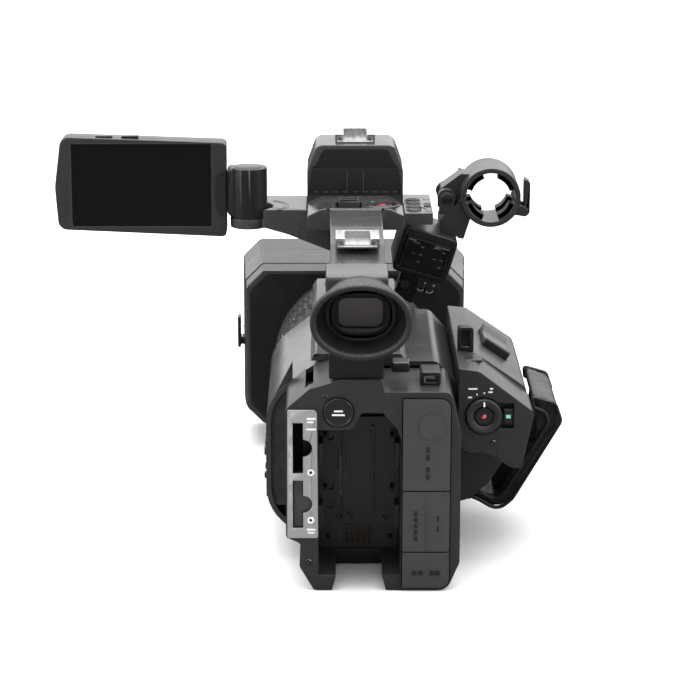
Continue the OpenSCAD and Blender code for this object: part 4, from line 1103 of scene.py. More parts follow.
def addPowerDial(look):
    low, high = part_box("power_dial")
    radius = (high.x - low.x) / 2 / mm
    face = Vector((middleOf("power_dial").x, low.y + 2 * mm, middleOf("power_dial").z))
    profile = [(0.05, -7.7), (radius, -7.7), (radius, -0.6), (radius, 1.0), (radius - 0.5, 1.75),
               (radius - 1.1, 1.98),
               (radius - 2.0, 1.9), (radius - 3.0, 1.3), (radius - 3.8, 1.0), (4.9, 0.7), (4.85, -5.0),
               (0.05, -5.0)]

    def knurl(row, step):
        return -0.22 * mm if row in (2, 3) and step % 4 in (2, 3) else 0.0

    bm = bmesh.new()
    latheShape(bm, [(reach * mm, height * mm) for reach, height in profile], axisFrame(face, (0, -1, 0)),
               look["knurls"] * 4, wave=knurl)
    settle(newPiece("dialKnob", bm, 40), "power_dial", "bodyPlastic", ("power_dial",))
    boxPiece("dialTick", face + Vector((-0.42 * mm, -1.95 * mm, (radius - 1.2 - look["tickLength"]) * mm)),
             face + Vector((0.42 * mm, -0.9 * mm, (radius - 1.0) * mm)), "power_dial", "whitePrint", 0.1)
    discPiece("recordCap", [(4.5, -3.0), (4.5, 0.8), (4.3, 1.2), (3.8, 1.38), (2.6, 1.2), (0.02, 1.05)],
              face, (0, -1, 0), "record_button", "buttonPlastic", ("record_button",), 48)
    discPiece("recordDot", [(look["redDot"], 0.9), (look["redDot"], 1.2), (look["redDot"] - 0.2, 1.32),
                            (0.02, 1.34)],
              face, (0, -1, 0), "record_button", "redPlastic", steps=28)
    lockLow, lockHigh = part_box("dial_lock")
    centre = (lockLow + lockHigh) / 2
    boxPiece("lockSpot", (centre.x - 1.15 * mm, lockLow.y - 0.12 * mm, centre.z - 0.9 * mm),
             (centre.x + 1.15 * mm, lockLow.y + 0.2 * mm, centre.z + 0.9 * mm), "dial_lock", "greenPlastic",
             0.1)
    dots = []
    for angle, reach in ((108, radius + 2.6), (90, radius + 2.8)):
        point = face + Vector((reach * mm * math.cos(math.radians(angle)), 0,
                               reach * mm * math.sin(math.radians(angle))))
        dots.append((Vector((point.x - 0.4 * mm, face.y - 0.05 * mm, point.z - 0.4 * mm)),
                     Vector((point.x + 0.4 * mm, face.y + 0.1 * mm, point.z + 0.4 * mm))))
    for angle, long, reach in ((126, 2.0, radius + 2.8), (112, 4.4, radius + 6.0), (76, 2.2, radius + 3.6),
                               (76, 1.6, radius + 5.4)):
        point = face + Vector((reach * mm * math.cos(math.radians(angle)), 0,
                               reach * mm * math.sin(math.radians(angle))))
        dots.append((Vector((point.x - long / 2 * mm, face.y - 0.05 * mm, point.z - 0.4 * mm)),
                     Vector((point.x + long / 2 * mm, face.y + 0.1 * mm, point.z + 0.4 * mm))))
    boxesPiece("powerMarks", dots, "camera", "whitePrint", 0.04)


addPowerDial(powerDial)


# Grip: thumb rest panel on top of the shell, screw
gripDetails = {"screwRadius": 1.3}


def addGripDetails(size):
    screwPiece("gripScrew", spot(66.2, 30, 66.0), (0, -1, 0), "camera", size["screwRadius"])
    low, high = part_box("grip_shell")
    seam = low.y + 32.2 * mm
    boxPiece("thumbRest", (middleOf("zoom_rocker").x - 18 * mm, seam - 14 * mm, high.z - 2.2 * mm),
             (middleOf("zoom_rocker").x - 9 * mm, seam - 3 * mm, high.z - 0.6 * mm), "camera",
             "buttonPlastic", 0.6)


addGripDetails(gripDetails)


# Handle controls on the deck
handleDetails = {"ribs": 8, "ribPitch": 2.1, "bezelOut": 7.6, "bezelIn": 5.9, "redDot": 1.7}


def addHandleControls(size):
    button = middleOf("handle_record_button")
    low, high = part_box("handle_record_button")
    radius = (high.x - low.x) / 2 / mm
    top = Vector((button.x, button.y, high.z))
    discPiece("deckRecordCap", [(radius, -2.6), (radius, -0.5), (radius - 0.4, -0.1), (radius - 1.0, 0.0),
                                (radius - 2.2, -0.35),
              (0.02, -0.5)], top, (0, 0, 1), "handle_record", "buttonPlastic", ("handle_record_button",),
              48)
    discPiece("deckRecordDot", [(size["redDot"], -0.6), (size["redDot"], -0.3),
                                (size["redDot"] - 0.3, -0.2), (0.02, -0.18)],
              top, (0, 0, 1), "handle_record", "redPlastic", steps=32)
    deck = high.z - 0.5 * mm
    place = Matrix.Translation((button.x, button.y, deck)) @ Matrix.Diagonal((1.22, 0.98, 1.0, 1.0))
    bm = bmesh.new()
    latheShape(bm, [(size["bezelIn"] * mm, -0.6 * mm), (size["bezelIn"] * mm, 0.3 * mm),
                    ((size["bezelIn"] + 0.5) * mm, 0.55 * mm),
                    ((size["bezelOut"] - 0.6) * mm, 0.45 * mm), (size["bezelOut"] * mm, 0.0),
                    (size["bezelOut"] * mm, -0.6 * mm)], place, 56)
    settle(newPiece("deckRecordBezel", bm, 45), "camera", "blackPlastic")
    ribs = []
    edge = -13.2 * mm
    for index in range(size["ribs"]):
        y = button.y + (index * size["ribPitch"] - 8.5) * mm
        reach = (8.5 - 0.45 * index) * mm
        ribs.append(((edge - reach, y, deck - 0.2 * mm), (edge, y + 0.7 * mm, deck + 0.3 * mm)))
    boxesPiece("speakerRibs", ribs, "camera", "deckPlastic", 0.12)
    leverLow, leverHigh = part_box("handle_zoom_lever")
    edge = 1.0 * mm
    frameBars = [((leverLow.x - 2 * edge, leverLow.y - 2 * edge, deck - 0.3 * mm),
                  (leverHigh.x + 2 * edge, leverLow.y - edge, deck + 0.4 * mm)),
                 ((leverLow.x - 2 * edge, leverHigh.y + edge, deck - 0.3 * mm),
                  (leverHigh.x + 2 * edge, leverHigh.y + 2 * edge, deck + 0.4 * mm)),
                 ((leverLow.x - 2 * edge, leverLow.y - edge, deck - 0.3 * mm),
                  (leverLow.x - edge, leverHigh.y + edge, deck + 0.4 * mm)),
                 ((leverHigh.x + edge, leverLow.y - edge, deck - 0.3 * mm),
                  (leverHigh.x + 2 * edge, leverHigh.y + edge, deck + 0.4 * mm))]
    boxesPiece("zoomFrame", frameBars, "camera", "blackPlastic", 0.2)
    grooves = []
    for step in range(5):
        y = leverLow.y + (1.6 + step * 2.2) * mm
        rise = 0.25 + 1.1 * abs(step - 2) / 2
        grooves.append(((leverLow.x + mm, y, leverHigh.z - 2.4 * mm),
                        (leverHigh.x - mm, y + 0.5 * mm, leverHigh.z + (rise - 1.5) * mm)))
    boxesPiece("zoomRidges", grooves, "handle_zoom", "blackPlastic", 0.12)
    marks = []
    for index, x in enumerate((8.0, 10.6, 13.2, 15.8)):
        marks.append(((x * mm, button.y + 7.7 * mm, deck - 0.1 * mm),
                      ((x + 1.4) * mm, button.y + 8.3 * mm, deck + 0.04 * mm)))
    marks.append(((-5.0 * mm, leverHigh.y + 2.6 * mm, deck - 0.1 * mm),
                  (-2.6 * mm, leverHigh.y + 3.1 * mm, deck + 0.04 * mm)))
    boxesPiece("deckMarks", marks, "camera", "whitePrint", 0.03)


def addFunctionButtons():
    for index in range(1, 5):
        node = "function_button_%d" % index
        low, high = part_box(node)
        radius = (high.x - low.x) / 2 / mm
        top = middleOf(node)
        top.z = high.z
        discPiece("functionCap%d" % index, [(radius, -2.5), (radius, -0.45), (radius - 0.3, -0.1),
                                            (radius - 0.8, 0.0),
                  (radius - 1.6, -0.3), (0.02, -0.4)], top, (0, 0, 1), "function_%d" % index, "coverRubber",
                  (node,), 36)
        deck = high.z - 0.8 * mm
        lathePiece("functionRing%d" % index, [(radius + 0.35, -0.2), (radius + 0.45, 0.22),
                                              (radius + 0.9, 0.18), (radius + 1.1, -0.2)],
                   Matrix.Translation((top.x, top.y, deck)), "camera", "blackPlastic", steps=36)
    first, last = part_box("function_button_1"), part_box("function_button_4")
    deck = first[1].z - 0.8 * mm
    x = first[1].x + 2.4 * mm
    middleY = (first[0].y + last[1].y) / 2
    boxesPiece("sideDeckKey", [((x, middleY - 4 * mm, deck - 0.2 * mm),
                                (x + 3.6 * mm, middleY + 4 * mm, deck + 0.55 * mm))], "camera",
               "coverRubber", 0.3)
    slots = [((x - 0.3 * mm, y - 0.8 * mm, deck - 0.2 * mm), (x + 3.4 * mm, y + 0.8 * mm, deck + 0.06 * mm))
             for y in (first[0].y + 0.5 * mm, last[1].y - 0.5 * mm)]
    boxesPiece("sideDeckSlots", slots, "camera", "blackPlastic", 0.05)
    lines = [((x - 1.9 * mm, first[0].y + (4 + 9 * index) * mm, deck - 0.1 * mm),
              (x - 0.6 * mm, first[0].y + (4.4 + 9 * index) * mm, deck + 0.04 * mm))
             for index in range(4)]
    boxesPiece("sideDeckMarks", lines, "camera", "whitePrint", 0.03)


addHandleControls(handleDetails)
addFunctionButtons()


# Front block of the handle: dark recessed face with its connector row, and a slotted grille at the front
frontBlock = {"slats": 11, "slatPitch": 2.4, "margin": 1.6, "ledge": 0.58, "slots": 9}


def addFrontBlock(size):
    blockLow, blockHigh = Vector((-26.5, 182, 147)), Vector((25.5, 215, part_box("handle_top")[1].z / mm))
    m = size["margin"]
    left, right, top, bottom = blockLow.x + m, blockHigh.x - m, blockHigh.z - 2.0, 160.5
    step = bottom + (top - bottom) * size["ledge"]
    platePiece("blockFace", [(left + 1, step, 0), (right - 1, step, 0), (right - 3.5, top - 8, 4),
                             (right - 7, top, 4), (left + 7, top, 4),
               (left + 3.5, top - 8, 4)], (181.5, 184), "camera", "blackPlastic", 0.4)
    platePiece("blockLower", [(left - 1.2, bottom, 0), (right + 1.2, bottom, 0), (right - 1, step - 0.4, 0),
                              (left + 1, step - 0.4, 0)],
               (181.2, 184), "camera", "buttonPlastic", 0.3)
    bars = [(spot(x, 180.9, bottom + 1), spot(x + 0.6, 182.2, step - 1)) for x in (-5.2, 3.6)]
    for index in range(size["slots"]):
        x = left + 2 + index * (right - left - 6) / (size["slots"] - 1)
        bars.append((spot(x, 180.9, bottom + 0.4), spot(x + 2.4, 182.2, bottom + 1.3)))
    boxesPiece("blockSlots", bars, "camera", "coverRubber", 0.1)
    platePiece("frontGrille", [(left + 2, 152, 3), (right - 2, 152, 3), (right - 3, top - 4, 5),
                               (left + 3, top - 4, 5)], (214.4, 215.25),
               "camera", "darkMetal", 0.2)
    heights = [155 + index * size["slatPitch"] for index in range(size["slats"])]
    slats = [(spot(left + 5, 215.0, z), spot(right - 5, 215.55, z + 1.1)) for z in heights]
    boxesPiece("frontSlats", slats, "camera", "blackPlastic", 0.15)
    shoeLow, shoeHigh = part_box("accessory_shoes")
    boxesPiece("shoeCushions", [(spot(-6.8, 54.4, 160), spot(5.8, 71.5, 160.6)),
                                (spot(-6.8, 189, 188), spot(5.8, 205.5, 188.6))],
               "camera", "satinMetal", 0.1)


addFrontBlock(frontBlock)
print("handle ready")


# Lens hood: dark rear plate, stepped bands round the sides, soft front rim
hoodDetails = {"rearMargin": 2.2, "lineDepth": 0.5, "lines": (0.2, 0.64), "chamfer": 10, "corner": 4}


def hoodSection(share, grow):  # the hood's outline at a share of its length, grown or shrunk in millimetres
    low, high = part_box("lens_hood")
    centre, half = (low + high) / 2 / mm, (high - low) / 2 / mm
    backHalf = (half.x - 3, half.z - 8)
    across = backHalf[0] + (half.x - backHalf[0]) * share + grow
    up = backHalf[1] + (half.z - backHalf[1]) * share + grow
    cut, radius = hoodDetails["chamfer"], hoodDetails["corner"]
    corners = []
    for x, z, along in ((-1, -1, True), (1, -1, False), (1, 1, True), (-1, 1, False)):
        pair = [(x * across, z * (up - cut), radius), (x * (across - cut), z * up, radius)]
        corners += pair if along else pair[::-1]
    y = (low.y + (high.y - low.y) * share)
    return [Vector(((centre.x + point.x) * mm, y, (centre.z + point.y) * mm))
            for point in roundedOutline(corners, 3)]


def hoodBand(name, start, end, proud, deep, finish):
    bm = bmesh.new()
    loftShape(bm, [hoodSection(start, -deep), hoodSection(start, proud), hoodSection(end, proud),
                   hoodSection(end, -deep)], ring=True)
    return settle(newPiece(name, bm, 25), "camera", finish)


def addHoodDetails(size):
    for index, share in enumerate(size["lines"]):
        hoodBand("hoodLine%d" % index, share, share + 0.014, 0.05, size["lineDepth"], "padRubber")
    hoodBand("hoodCollar", size["lines"][0] + 0.02, size["lines"][1] - 0.006, 0.3, 0.4, "deckPlastic")
    hoodBand("hoodRim", 0.955, 1.0, 0.0, 1.0, "cupRubber")
    low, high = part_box("lens_hood")
    bm = bmesh.new()
    outer = hoodSection(0.0, -size["rearMargin"])
    centre = Vector(((low.x + high.x) / 2, 0, middleOf("lens_barrel").z))
    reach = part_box("focus_ring")
    radius = (reach[1].x - reach[0].x) / 2 - 0.6 * mm
    inner = []
    for point in outer:
        flat = Vector((point.x - centre.x, point.z - centre.z)).normalized() * radius
        inner.append(Vector((centre.x + flat.x, 0, centre.z + flat.y)))
    sections = []
    for ringPoints, y in ((outer, low.y + 0.3 * mm), (outer, low.y - 0.35 * mm), (inner, low.y - 0.35 * mm),
                          (inner, low.y + 0.3 * mm)):
        sections.append([Vector((point.x, y, point.z)) for point in ringPoints])
    loftShape(bm, sections, ring=True)
    settle(newPiece("hoodRearPlate", bm, 25), "camera", "blackPlastic")
    lever = middleOf("shutter_lever")
    boxesPiece("leverMarks", [((low.x - 0.12 * mm, lever.y + side * 11 * mm - 1.2 * mm, lever.z - 0.4 * mm),
                               (low.x + 0.6 * mm, lever.y + side * 11 * mm + 1.2 * mm, lever.z + 0.4 * mm))
                              for side in (-1, 1)],
               "camera", "whitePrint", 0.05)


addHoodDetails(hoodDetails)


# Screen: bright edge, top keys, speaker and catch on the back
screenDetails = {"keyWidth": 9.0, "trim": 0.5}


def addScreenDetails(size):
    glassLow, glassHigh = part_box("lcd_glass")
    bezelLow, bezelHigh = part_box("lcd_bezel")
    backLow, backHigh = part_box("lcd_back_cover")
    trim = size["trim"] * mm
    bars = [((glassLow.x - trim, bezelLow.y - 0.06 * mm, glassLow.z - trim),
             (glassHigh.x + trim, bezelLow.y + 0.3 * mm, glassLow.z)),
            ((glassLow.x - trim, bezelLow.y - 0.06 * mm, glassHigh.z),
             (glassHigh.x + trim, bezelLow.y + 0.3 * mm, glassHigh.z + trim)),
            ((glassLow.x - trim, bezelLow.y - 0.06 * mm, glassLow.z),
             (glassLow.x, bezelLow.y + 0.3 * mm, glassHigh.z)),
            ((glassHigh.x, bezelLow.y - 0.06 * mm, glassLow.z),
             (glassHigh.x + trim, bezelLow.y + 0.3 * mm, glassHigh.z))]
    boxesPiece("glassTrim", bars, "lcd_panel", "sidePlastic", 0.05)
    hinge = (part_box("lcd_swivel")[0].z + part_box("lcd_swivel")[1].z) / 2
    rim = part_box("lcd_bezel")[1].x
    bm = bmesh.new()
    boss = roundedOutline([(0, -13, 0), (0, 13, 0), (-5.2, 11, 4), (-6.2, 0, 20), (-5.2, -11, 4)])
    loftShape(bm, [[Vector((rim - 0.1 * mm + point.x * mm, bezelLow.y + depth * mm, hinge + point.y * mm))
                    for point in boss]
                   for depth in (-0.55, 1.0)])
    piece = newPiece("panelHingeBoss", bm)
    bevelEdges(piece, 0.4 * mm)
    settle(piece, "lcd_panel", "buttonPlastic")
    keys = [((backLow.x + x * mm, bezelHigh.y - 1.2 * mm, bezelHigh.z - 1.5 * mm),
             (backLow.x + (x + size["keyWidth"]) * mm, bezelHigh.y + 2.8 * mm, bezelHigh.z + 0.25 * mm))
            for x in (22, 36)]
    boxesPiece("screenKeys", keys, "lcd_panel", "buttonPlastic", 0.25)
    marks = [((glassHigh.x + 2.6 * mm, bezelLow.y - 0.05 * mm, glassLow.z + z * mm),
              (glassHigh.x + 3.8 * mm, bezelLow.y + 0.1 * mm, glassLow.z + (z + 0.6) * mm))
             for z in (4, 8, 12)]
    boxesPiece("bezelMarks", marks, "lcd_panel", "coverRubber", 0.03)
    y = backHigh.y
    slots = [((backLow.x + 18 * mm, y - 0.3 * mm, backLow.z + (14 + 2.4 * index) * mm),
              (backLow.x + 34 * mm, y + 0.14 * mm, backLow.z + (15.1 + 2.4 * index) * mm))
             for index in range(6)]
    boxesPiece("speakerSlots", slots, "lcd_panel", "blackPlastic", 0.15)
    boxPiece("panelCatch", (backLow.x + 0.9 * mm, y - 4.5 * mm, (backLow.z + backHigh.z) / 2 - 5 * mm),
             (backLow.x + 4.0 * mm, y + 0.2 * mm, (backLow.z + backHigh.z) / 2 + 5 * mm), "lcd_panel",
             "buttonPlastic", 0.5)
    rim = [((backLow.x + 10 * mm, y - 0.3 * mm, backLow.z + 7 * mm),
            (backHigh.x - 14 * mm, y + 0.16 * mm, backLow.z + 7.5 * mm)),
           ((backLow.x + 10 * mm, y - 0.3 * mm, backHigh.z - 7.5 * mm),
            (backHigh.x - 14 * mm, y + 0.16 * mm, backHigh.z - 7 * mm))]
    boxesPiece("backLines", rim, "lcd_panel", "padRubber", 0.05)
    for index, (x, z) in enumerate(((8, 8), (8, 46), (76, 8), (76, 46))):
        screwPiece("panelScrew%d" % index, Vector((backLow.x + x * mm, y, backLow.z + z * mm)), (0, 1, 0),
                   "lcd_panel", 1.1)


def addScreenHinge():
    low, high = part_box("lcd_swivel")
    centre = middleOf("lcd_swivel")
    pin = Vector((high.x - 10 * mm, (low.y + high.y) / 2, high.z))
    discPiece("swivelCap", [(7.4, -0.5), (7.4, 0.15), (6.8, 0.5), (0.02, 0.55)], pin, (0, 0, 1), "lcd_arm",
              "buttonPlastic", steps=48)
    boxPiece("swivelSeam", (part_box("lcd_bezel")[1].x + 1.2 * mm, low.y + 2.95 * mm - 0.1 * mm,
                            centre.z - 0.3 * mm), (pin.x - 6 * mm, low.y + 3.4 * mm, centre.z + 0.3 * mm),
             "lcd_arm", "padRubber", 0.05)
    bm = bmesh.new()
    seam = Vector((pin.x, pin.y, low.z))
    latheShape(bm, [(9.0 * mm, 0.1 * mm), (10.06 * mm, 0.1 * mm), (10.06 * mm, 0.6 * mm),
                    (9.0 * mm, 0.6 * mm)], Matrix.Translation(seam), 56)
    settle(newPiece("swivelRing", bm), "lcd_arm", "padRubber")
    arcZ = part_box("function_button_1")[1].z - 0.5 * mm  # the base's flat top
    for index, reach in enumerate((13.5, 15.2)):
        lathePiece("hingeArc%d" % index, [(reach, -0.2), (reach, 0.14), (reach + 0.5, 0.14),
                                          (reach + 0.5, -0.2)],
                   Matrix.Translation((pin.x + 6 * mm, pin.y, arcZ)), "camera", "buttonPlastic", steps=40,
                   start=-62, sweep=124)


addScreenDetails(screenDetails)
addScreenHinge()
print("hood and screen ready")


# Sound input box: switches behind the clear cover, catch line, release tabs on the sockets
soundBox = {"centre": (37, 131), "turn": 17, "switches": 2}


def onSoundBox(size):
    across, up = size["centre"]
    return Matrix.Translation((across * mm, 0, up * mm)) @ Matrix.Rotation(math.radians(size["turn"]), 4,
                                                                           "Y")


def tiltedBoxes(name, boxes, place, body, finish, edge=0.15):
    bm = bmesh.new()
    for low, high in boxes:
        boxShape(bm, low, high)
    bmesh.ops.transform(bm, verts=bm.verts, matrix=place)
    piece = newPiece(name, bm)
    bevelEdges(piece, edge * mm)
    return settle(piece, body, finish)


def local(x, y, z):
    return Vector((x * mm, rearY + y * mm, z * mm))


def addSoundBox(size):
    place = onSoundBox(size)
    back = (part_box("xlr_box")[0].y - rearY) / mm
    tiltedBoxes("switchPanel", [(local(-12.2, back + 1.6, -9.2), local(12.2, back + 3.2, 7.2))], place,
                "camera", "buttonPlastic", 0.2)
    wells, nubs, prints = [], [], []
    for x in (-6.2, 5.4):
        wells.append((local(x - 2.2, back + 1.2, -5.0), local(x + 2.2, back + 1.9, 3.0)))
        nubs.append((local(x - 1.2, back + 0.5, -2.2), local(x + 1.2, back + 1.6, 0.6)))
        for z in (3.4, -1.0, -5.0):
            prints.append((local(x + 2.9, back + 1.45, z), local(x + 4.6, back + 1.7, z + 0.5)))
        prints.append((local(x - 1.0, back + 0.4, -0.9), local(x + 1.0, back + 0.6, -0.5)))
        prints.append((local(x - 2.0, back + 1.45, 4.8), local(x + 1.8, back + 1.7, 5.4)))
    tiltedBoxes("switchWells", wells, place, "camera", "padRubber")
    tiltedBoxes("switchNubs", nubs, place, "camera", "blackPlastic", 0.25)
    tiltedBoxes("switchMarks", prints, place, "camera", "whitePrint", 0.04)
    edges = [(local(-11.8, back - 2.3, 6.5), local(-7.0, back - 1.9, 7.2)),
             (local(3.4, back - 2.3, 6.5), local(11.6, back - 1.9, 7.2))]
    tiltedBoxes("coverCatch", edges, place, "xlr_cover", "satinMetal", 0.08)
    rim = [(local(-12, back - 2.45, 7.4), local(12, back - 0.7, 8.1)),
           (local(-12, back - 2.45, -10.1), local(12, back - 0.7, -9.4)),
           (local(-12.1, back - 2.45, -10), local(-11.4, back - 0.7, 8)),
           (local(11.4, back - 2.45, -10), local(12.1, back - 0.7, 8))]
    tiltedBoxes("coverRim", rim, place, "xlr_cover", "blackPlastic", 0.15)
    front = (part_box("xlr_box")[1].y - rearY) / mm
    tabs = [(local(x - 2.2, front - 5, 8.4), local(x + 2.2, front + 0.25, 10.6)) for x in (-7.4, 7.4)]
    tiltedBoxes("socketTabs", tabs, place, "camera", "silverPaint", 0.3)


addSoundBox(soundBox)


# Bracket between the body and the sound box, with its thumb screw and cable hooks
bracket = {"lean": 17, "hooks": 2}


def addBracket(look):
    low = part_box("xlr_box")[0].y
    foot = spot(27.5, 0, 112)
    turn = (Vector((foot.x, low + 10 * mm, foot.z)), look["lean"], "Y")
    boxPiece("boxBracket", (foot.x - 5.5 * mm, low + 5 * mm, foot.z - 7.5 * mm),
             (foot.x + 5.5 * mm, low + 16 * mm, foot.z + 9 * mm),
             "camera", "blackPlastic", 1.0, turn)
    discPiece("bracketScrew", [(3.1, -1.0), (3.1, 1.6), (2.5, 2.2), (1.2, 2.3), (0.02, 2.2)],
              Vector((foot.x - 1.5 * mm, low + 5 * mm, foot.z + 2.5 * mm)), (0, -1, 0), "camera",
              "darkMetal", steps=36)
    for index in range(look["hooks"]):
        bm = bmesh.new()
        place = Matrix.Translation((foot.x + (7.5 + 4.6 * index) * mm, low + 6 * mm, foot.z
                                    + (0.8 - 1.4 * index) * mm))
        latheShape(bm, [(2.3 * mm, 0.0), (3.3 * mm, 0.0), (3.3 * mm, 2.2 * mm), (2.3 * mm, 2.2 * mm)],
                   place @ Matrix.Rotation(math.radians(90), 4, "X"), 24, 150, 250)
        settle(newPiece("cableHook%d" % index, bm), "camera", "darkMetal" if index else "buttonPlastic")
    hookY = rearY + 67 * mm
    boxPiece("hookWebbing", (52.1 * mm, hookY - 1.2 * mm, 106.1 * mm),
             (55.9 * mm, hookY + 1.2 * mm, 113.9 * mm), "camera", "strapWeave", 0.4)


addBracket(bracket)


# Microphone clamp: soft pads, ridges on the latch, hinge caps
clampDetails = {"padLength": 8.1, "padSweep": 52, "padProud": 0.04}


def addClampPads(size):
    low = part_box("mic_upper_jaw")[0]
    ringX, ringZ = 72.3 * mm, 161 * mm
    start = (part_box("mic_base")[0].y - rearY) / mm
    inner = (10.5 - size["padProud"]) * mm
    for body, angles in (("mic_jaw", (18, 110)), ("camera", (198, 290))):
        bm = bmesh.new()
        for angle in angles:
            for along in (start + 3, start + 21):
                place = Matrix.Translation((ringX, rearY + (along + size["padLength"]) * mm,
                                            ringZ)) @ Matrix.Rotation(math.radians(90), 4, "X")
                latheShape(bm, [(inner, -0.05 * mm), (13.0 * mm, -0.05 * mm),
                                (13.0 * mm, size["padLength"] * mm),
                                (inner, size["padLength"] * mm)], place, 12, angle - 0.3, size["padSweep"]
                           + 0.6)
        settle(newPiece("clampPads_" + body, bm), body, "cupRubber")
    for index, y in enumerate((start + 3.9, start + 28.1)):
        side = -1 if index == 0 else 1
        discPiece("clampCap%d" % index, [(3.2, -0.3), (3.2, 0.4), (2.6, 0.8), (0.02, 0.8)],
                  Vector((48.7 * mm, rearY + y * mm, 160.1 * mm)),
                  (0, side, 0), "camera", "darkMetal", steps=32)
    latchLow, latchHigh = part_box("mic_latch")
    boxesPiece("latchRidges", [((latchHigh.x - 0.2 * mm, latchLow.y + 0.8 * mm, latchLow.z + z * mm),
                                (latchHigh.x + 0.25 * mm, latchHigh.y - 0.8 * mm, latchLow.z
                                 + (z + 0.6) * mm)) for z in (9, 10.6, 12.2, 13.8)],
               "mic_latch", "buttonPlastic", 0.1)
    y = low.y + 12 * mm
    rib = ((low.x + 10 * mm, y, low.z + 18.2 * mm), (low.x + 12 * mm, y + 0.8 * mm, low.z + 18.8 * mm))
    boxesPiece("jawRib", [rib], "mic_jaw", "bodyPlastic", 0.1)


addClampPads(clampDetails)


# Left side: control panel with keys, switches and an iris wheel; vents
leftPanel = {"keyRadius": 2.6, "keys": 4, "switches": 3}


def addLeftPanel(size):
    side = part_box("left_cover")[0].x
    away = (-1, 0, 0)
    boxPiece("leftPanelPlate", (side - 0.25 * mm, rearY + 52 * mm, 31 * mm),
             (side + 0.4 * mm, rearY + 146 * mm, 60 * mm), "camera", "bodyPlastic", 0.25)
    for index in range(size["keys"]):
        discPiece("leftKey%d" % index, [(size["keyRadius"], -0.3), (size["keyRadius"], 0.9),
                                        (size["keyRadius"] - 0.3, 1.2),
                  (size["keyRadius"] - 1.0, 1.25), (0.02, 1.1)],
                  Vector((side, rearY + (60 + index * 11) * mm, 53 * mm)), away,
                  "camera", "buttonPlastic", steps=36)
    wells, nubs, dots = [], [], []
    for index in range(size["switches"]):
        y = rearY + (60 + index * 15) * mm
        wells.append(((side - 0.32 * mm, y - 4.5 * mm, 38 * mm), (side + 0.2 * mm, y + 4.5 * mm, 42 * mm)))
        nubs.append(((side - 1.3 * mm, y - 1.8 * mm, 38.6 * mm), (side, y + 1.4 * mm, 41.4 * mm)))
        for step in (-1, 0, 1):
            dots.append(((side - 0.3 * mm, y + (step * 3.2 - 0.3) * mm, 44.2 * mm),
                         (side, y + (step * 3.2 + 0.3) * mm, 44.8 * mm)))
    boxesPiece("leftSwitchWells", wells, "camera", "padRubber", 0.1)
    boxesPiece("leftSwitches", nubs, "camera", "buttonPlastic", 0.3)
    boxesPiece("leftDots", dots, "camera", "whitePrint", 0.03)
    bm = bmesh.new()

    def wheelRib(row, step):
        return -0.25 * mm if row in (1, 2) and step % 4 in (2, 3) else 0.0

    latheShape(bm, [(0.05 * mm, -1 * mm), (6.4 * mm, -1 * mm), (6.4 * mm, 1.3 * mm), (5.6 * mm, 1.7 * mm),
                    (0.05 * mm, 1.75 * mm)],
               axisFrame(Vector((side, rearY + 132 * mm, 46 * mm)), away), 112, wave=wheelRib)
    settle(newPiece("irisWheel", bm), "camera", "blackPlastic")
    boxesPiece("leftLines", [((side - 0.3 * mm, rearY + 112 * mm, z * mm),
                              (side, rearY + 122 * mm, (z + 0.5) * mm)) for z in (38, 46, 54)],
               "camera", "coverRubber", 0.05)


# Underside: screws and grip pads on the base plate
underside = {"screws": ((-14, 56), (36, 56), (-14, 140), (36, 140)), "pads": ((-12, 92), (26, 92))}


def addUnderside(look):
    for index, (x, y) in enumerate(look["screws"]):
        screwPiece("baseScrew%d" % index, spot(x, y, 0), (0, 0, -1), "camera", 1.8)
    for index, (x, y) in enumerate(look["pads"]):
        boxPiece("basePad%d" % index, spot(x - 3, y - 4, -0.25), spot(x + 3, y + 40, 0.4), "camera",
                 "padRubber", 0.2)
    centre = middleOf("tripod_socket")
    centre.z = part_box("tripod_socket")[0].z
    lathePiece("socketRing", [(6.1, -0.4), (6.1, 0.14), (8.6, 0.14), (8.6, -0.4)],
               axisFrame(centre, (0, 0, -1)), "camera", "darkMetal", steps=48)


# The left shell's rear end is closed by an inner wall
sideWall = {"setBack": 1.2, "thick": 1.5, "inset": 0.5, "overlap": 3.0}


def addSideWall(size):
    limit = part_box("rear_cover")[0].x + size["overlap"] * mm
    bm = bmesh.new()
    bm.from_mesh(nodes["left_cover"].data)
    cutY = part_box("left_cover")[0].y + size["setBack"] * mm
    made = bmesh.ops.bisect_plane(bm, geom=bm.verts[:] + bm.edges[:] + bm.faces[:], plane_co=(0, cutY, 0),
                                  plane_no=(0, 1, 0))
    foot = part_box("card_slot_plate")[0].z + mm
    section = [Vector((min(item.co.x, limit), max(item.co.z, foot))) for item in made["geom_cut"]
               if isinstance(item, bmesh.types.BMVert)]
    bm.free()
    outline = [section[index] for index in convex_hull_2d(section)]
    middle = sum(outline, Vector((0, 0))) / len(outline)
    outline = [point + (middle - point).normalized() * size["inset"] * mm for point in outline]
    bm = bmesh.new()
    loftShape(bm, [[Vector((point.x, y, point.y)) for point in outline]
                   for y in (cutY, cutY + size["thick"] * mm)])
    settle(newPiece("leftInnerWall", bm), "camera", "bodyPlastic")


addLeftPanel(leftPanel)
addSideWall(sideWall)
addUnderside(underside)
print("sides ready")


# Hand strap: a leather pad blown up by cloth simulation, with piping along its rims and a row of stitches
strap = {"shrink": 0.6, "voxel": 2.6, "pressure": 4.0, "frames": 20, "cap": 2.4, "piping": 1.0,
         "stitch": 2.2, "stitchGap": 2.0,
         "rimInset": 2.4}


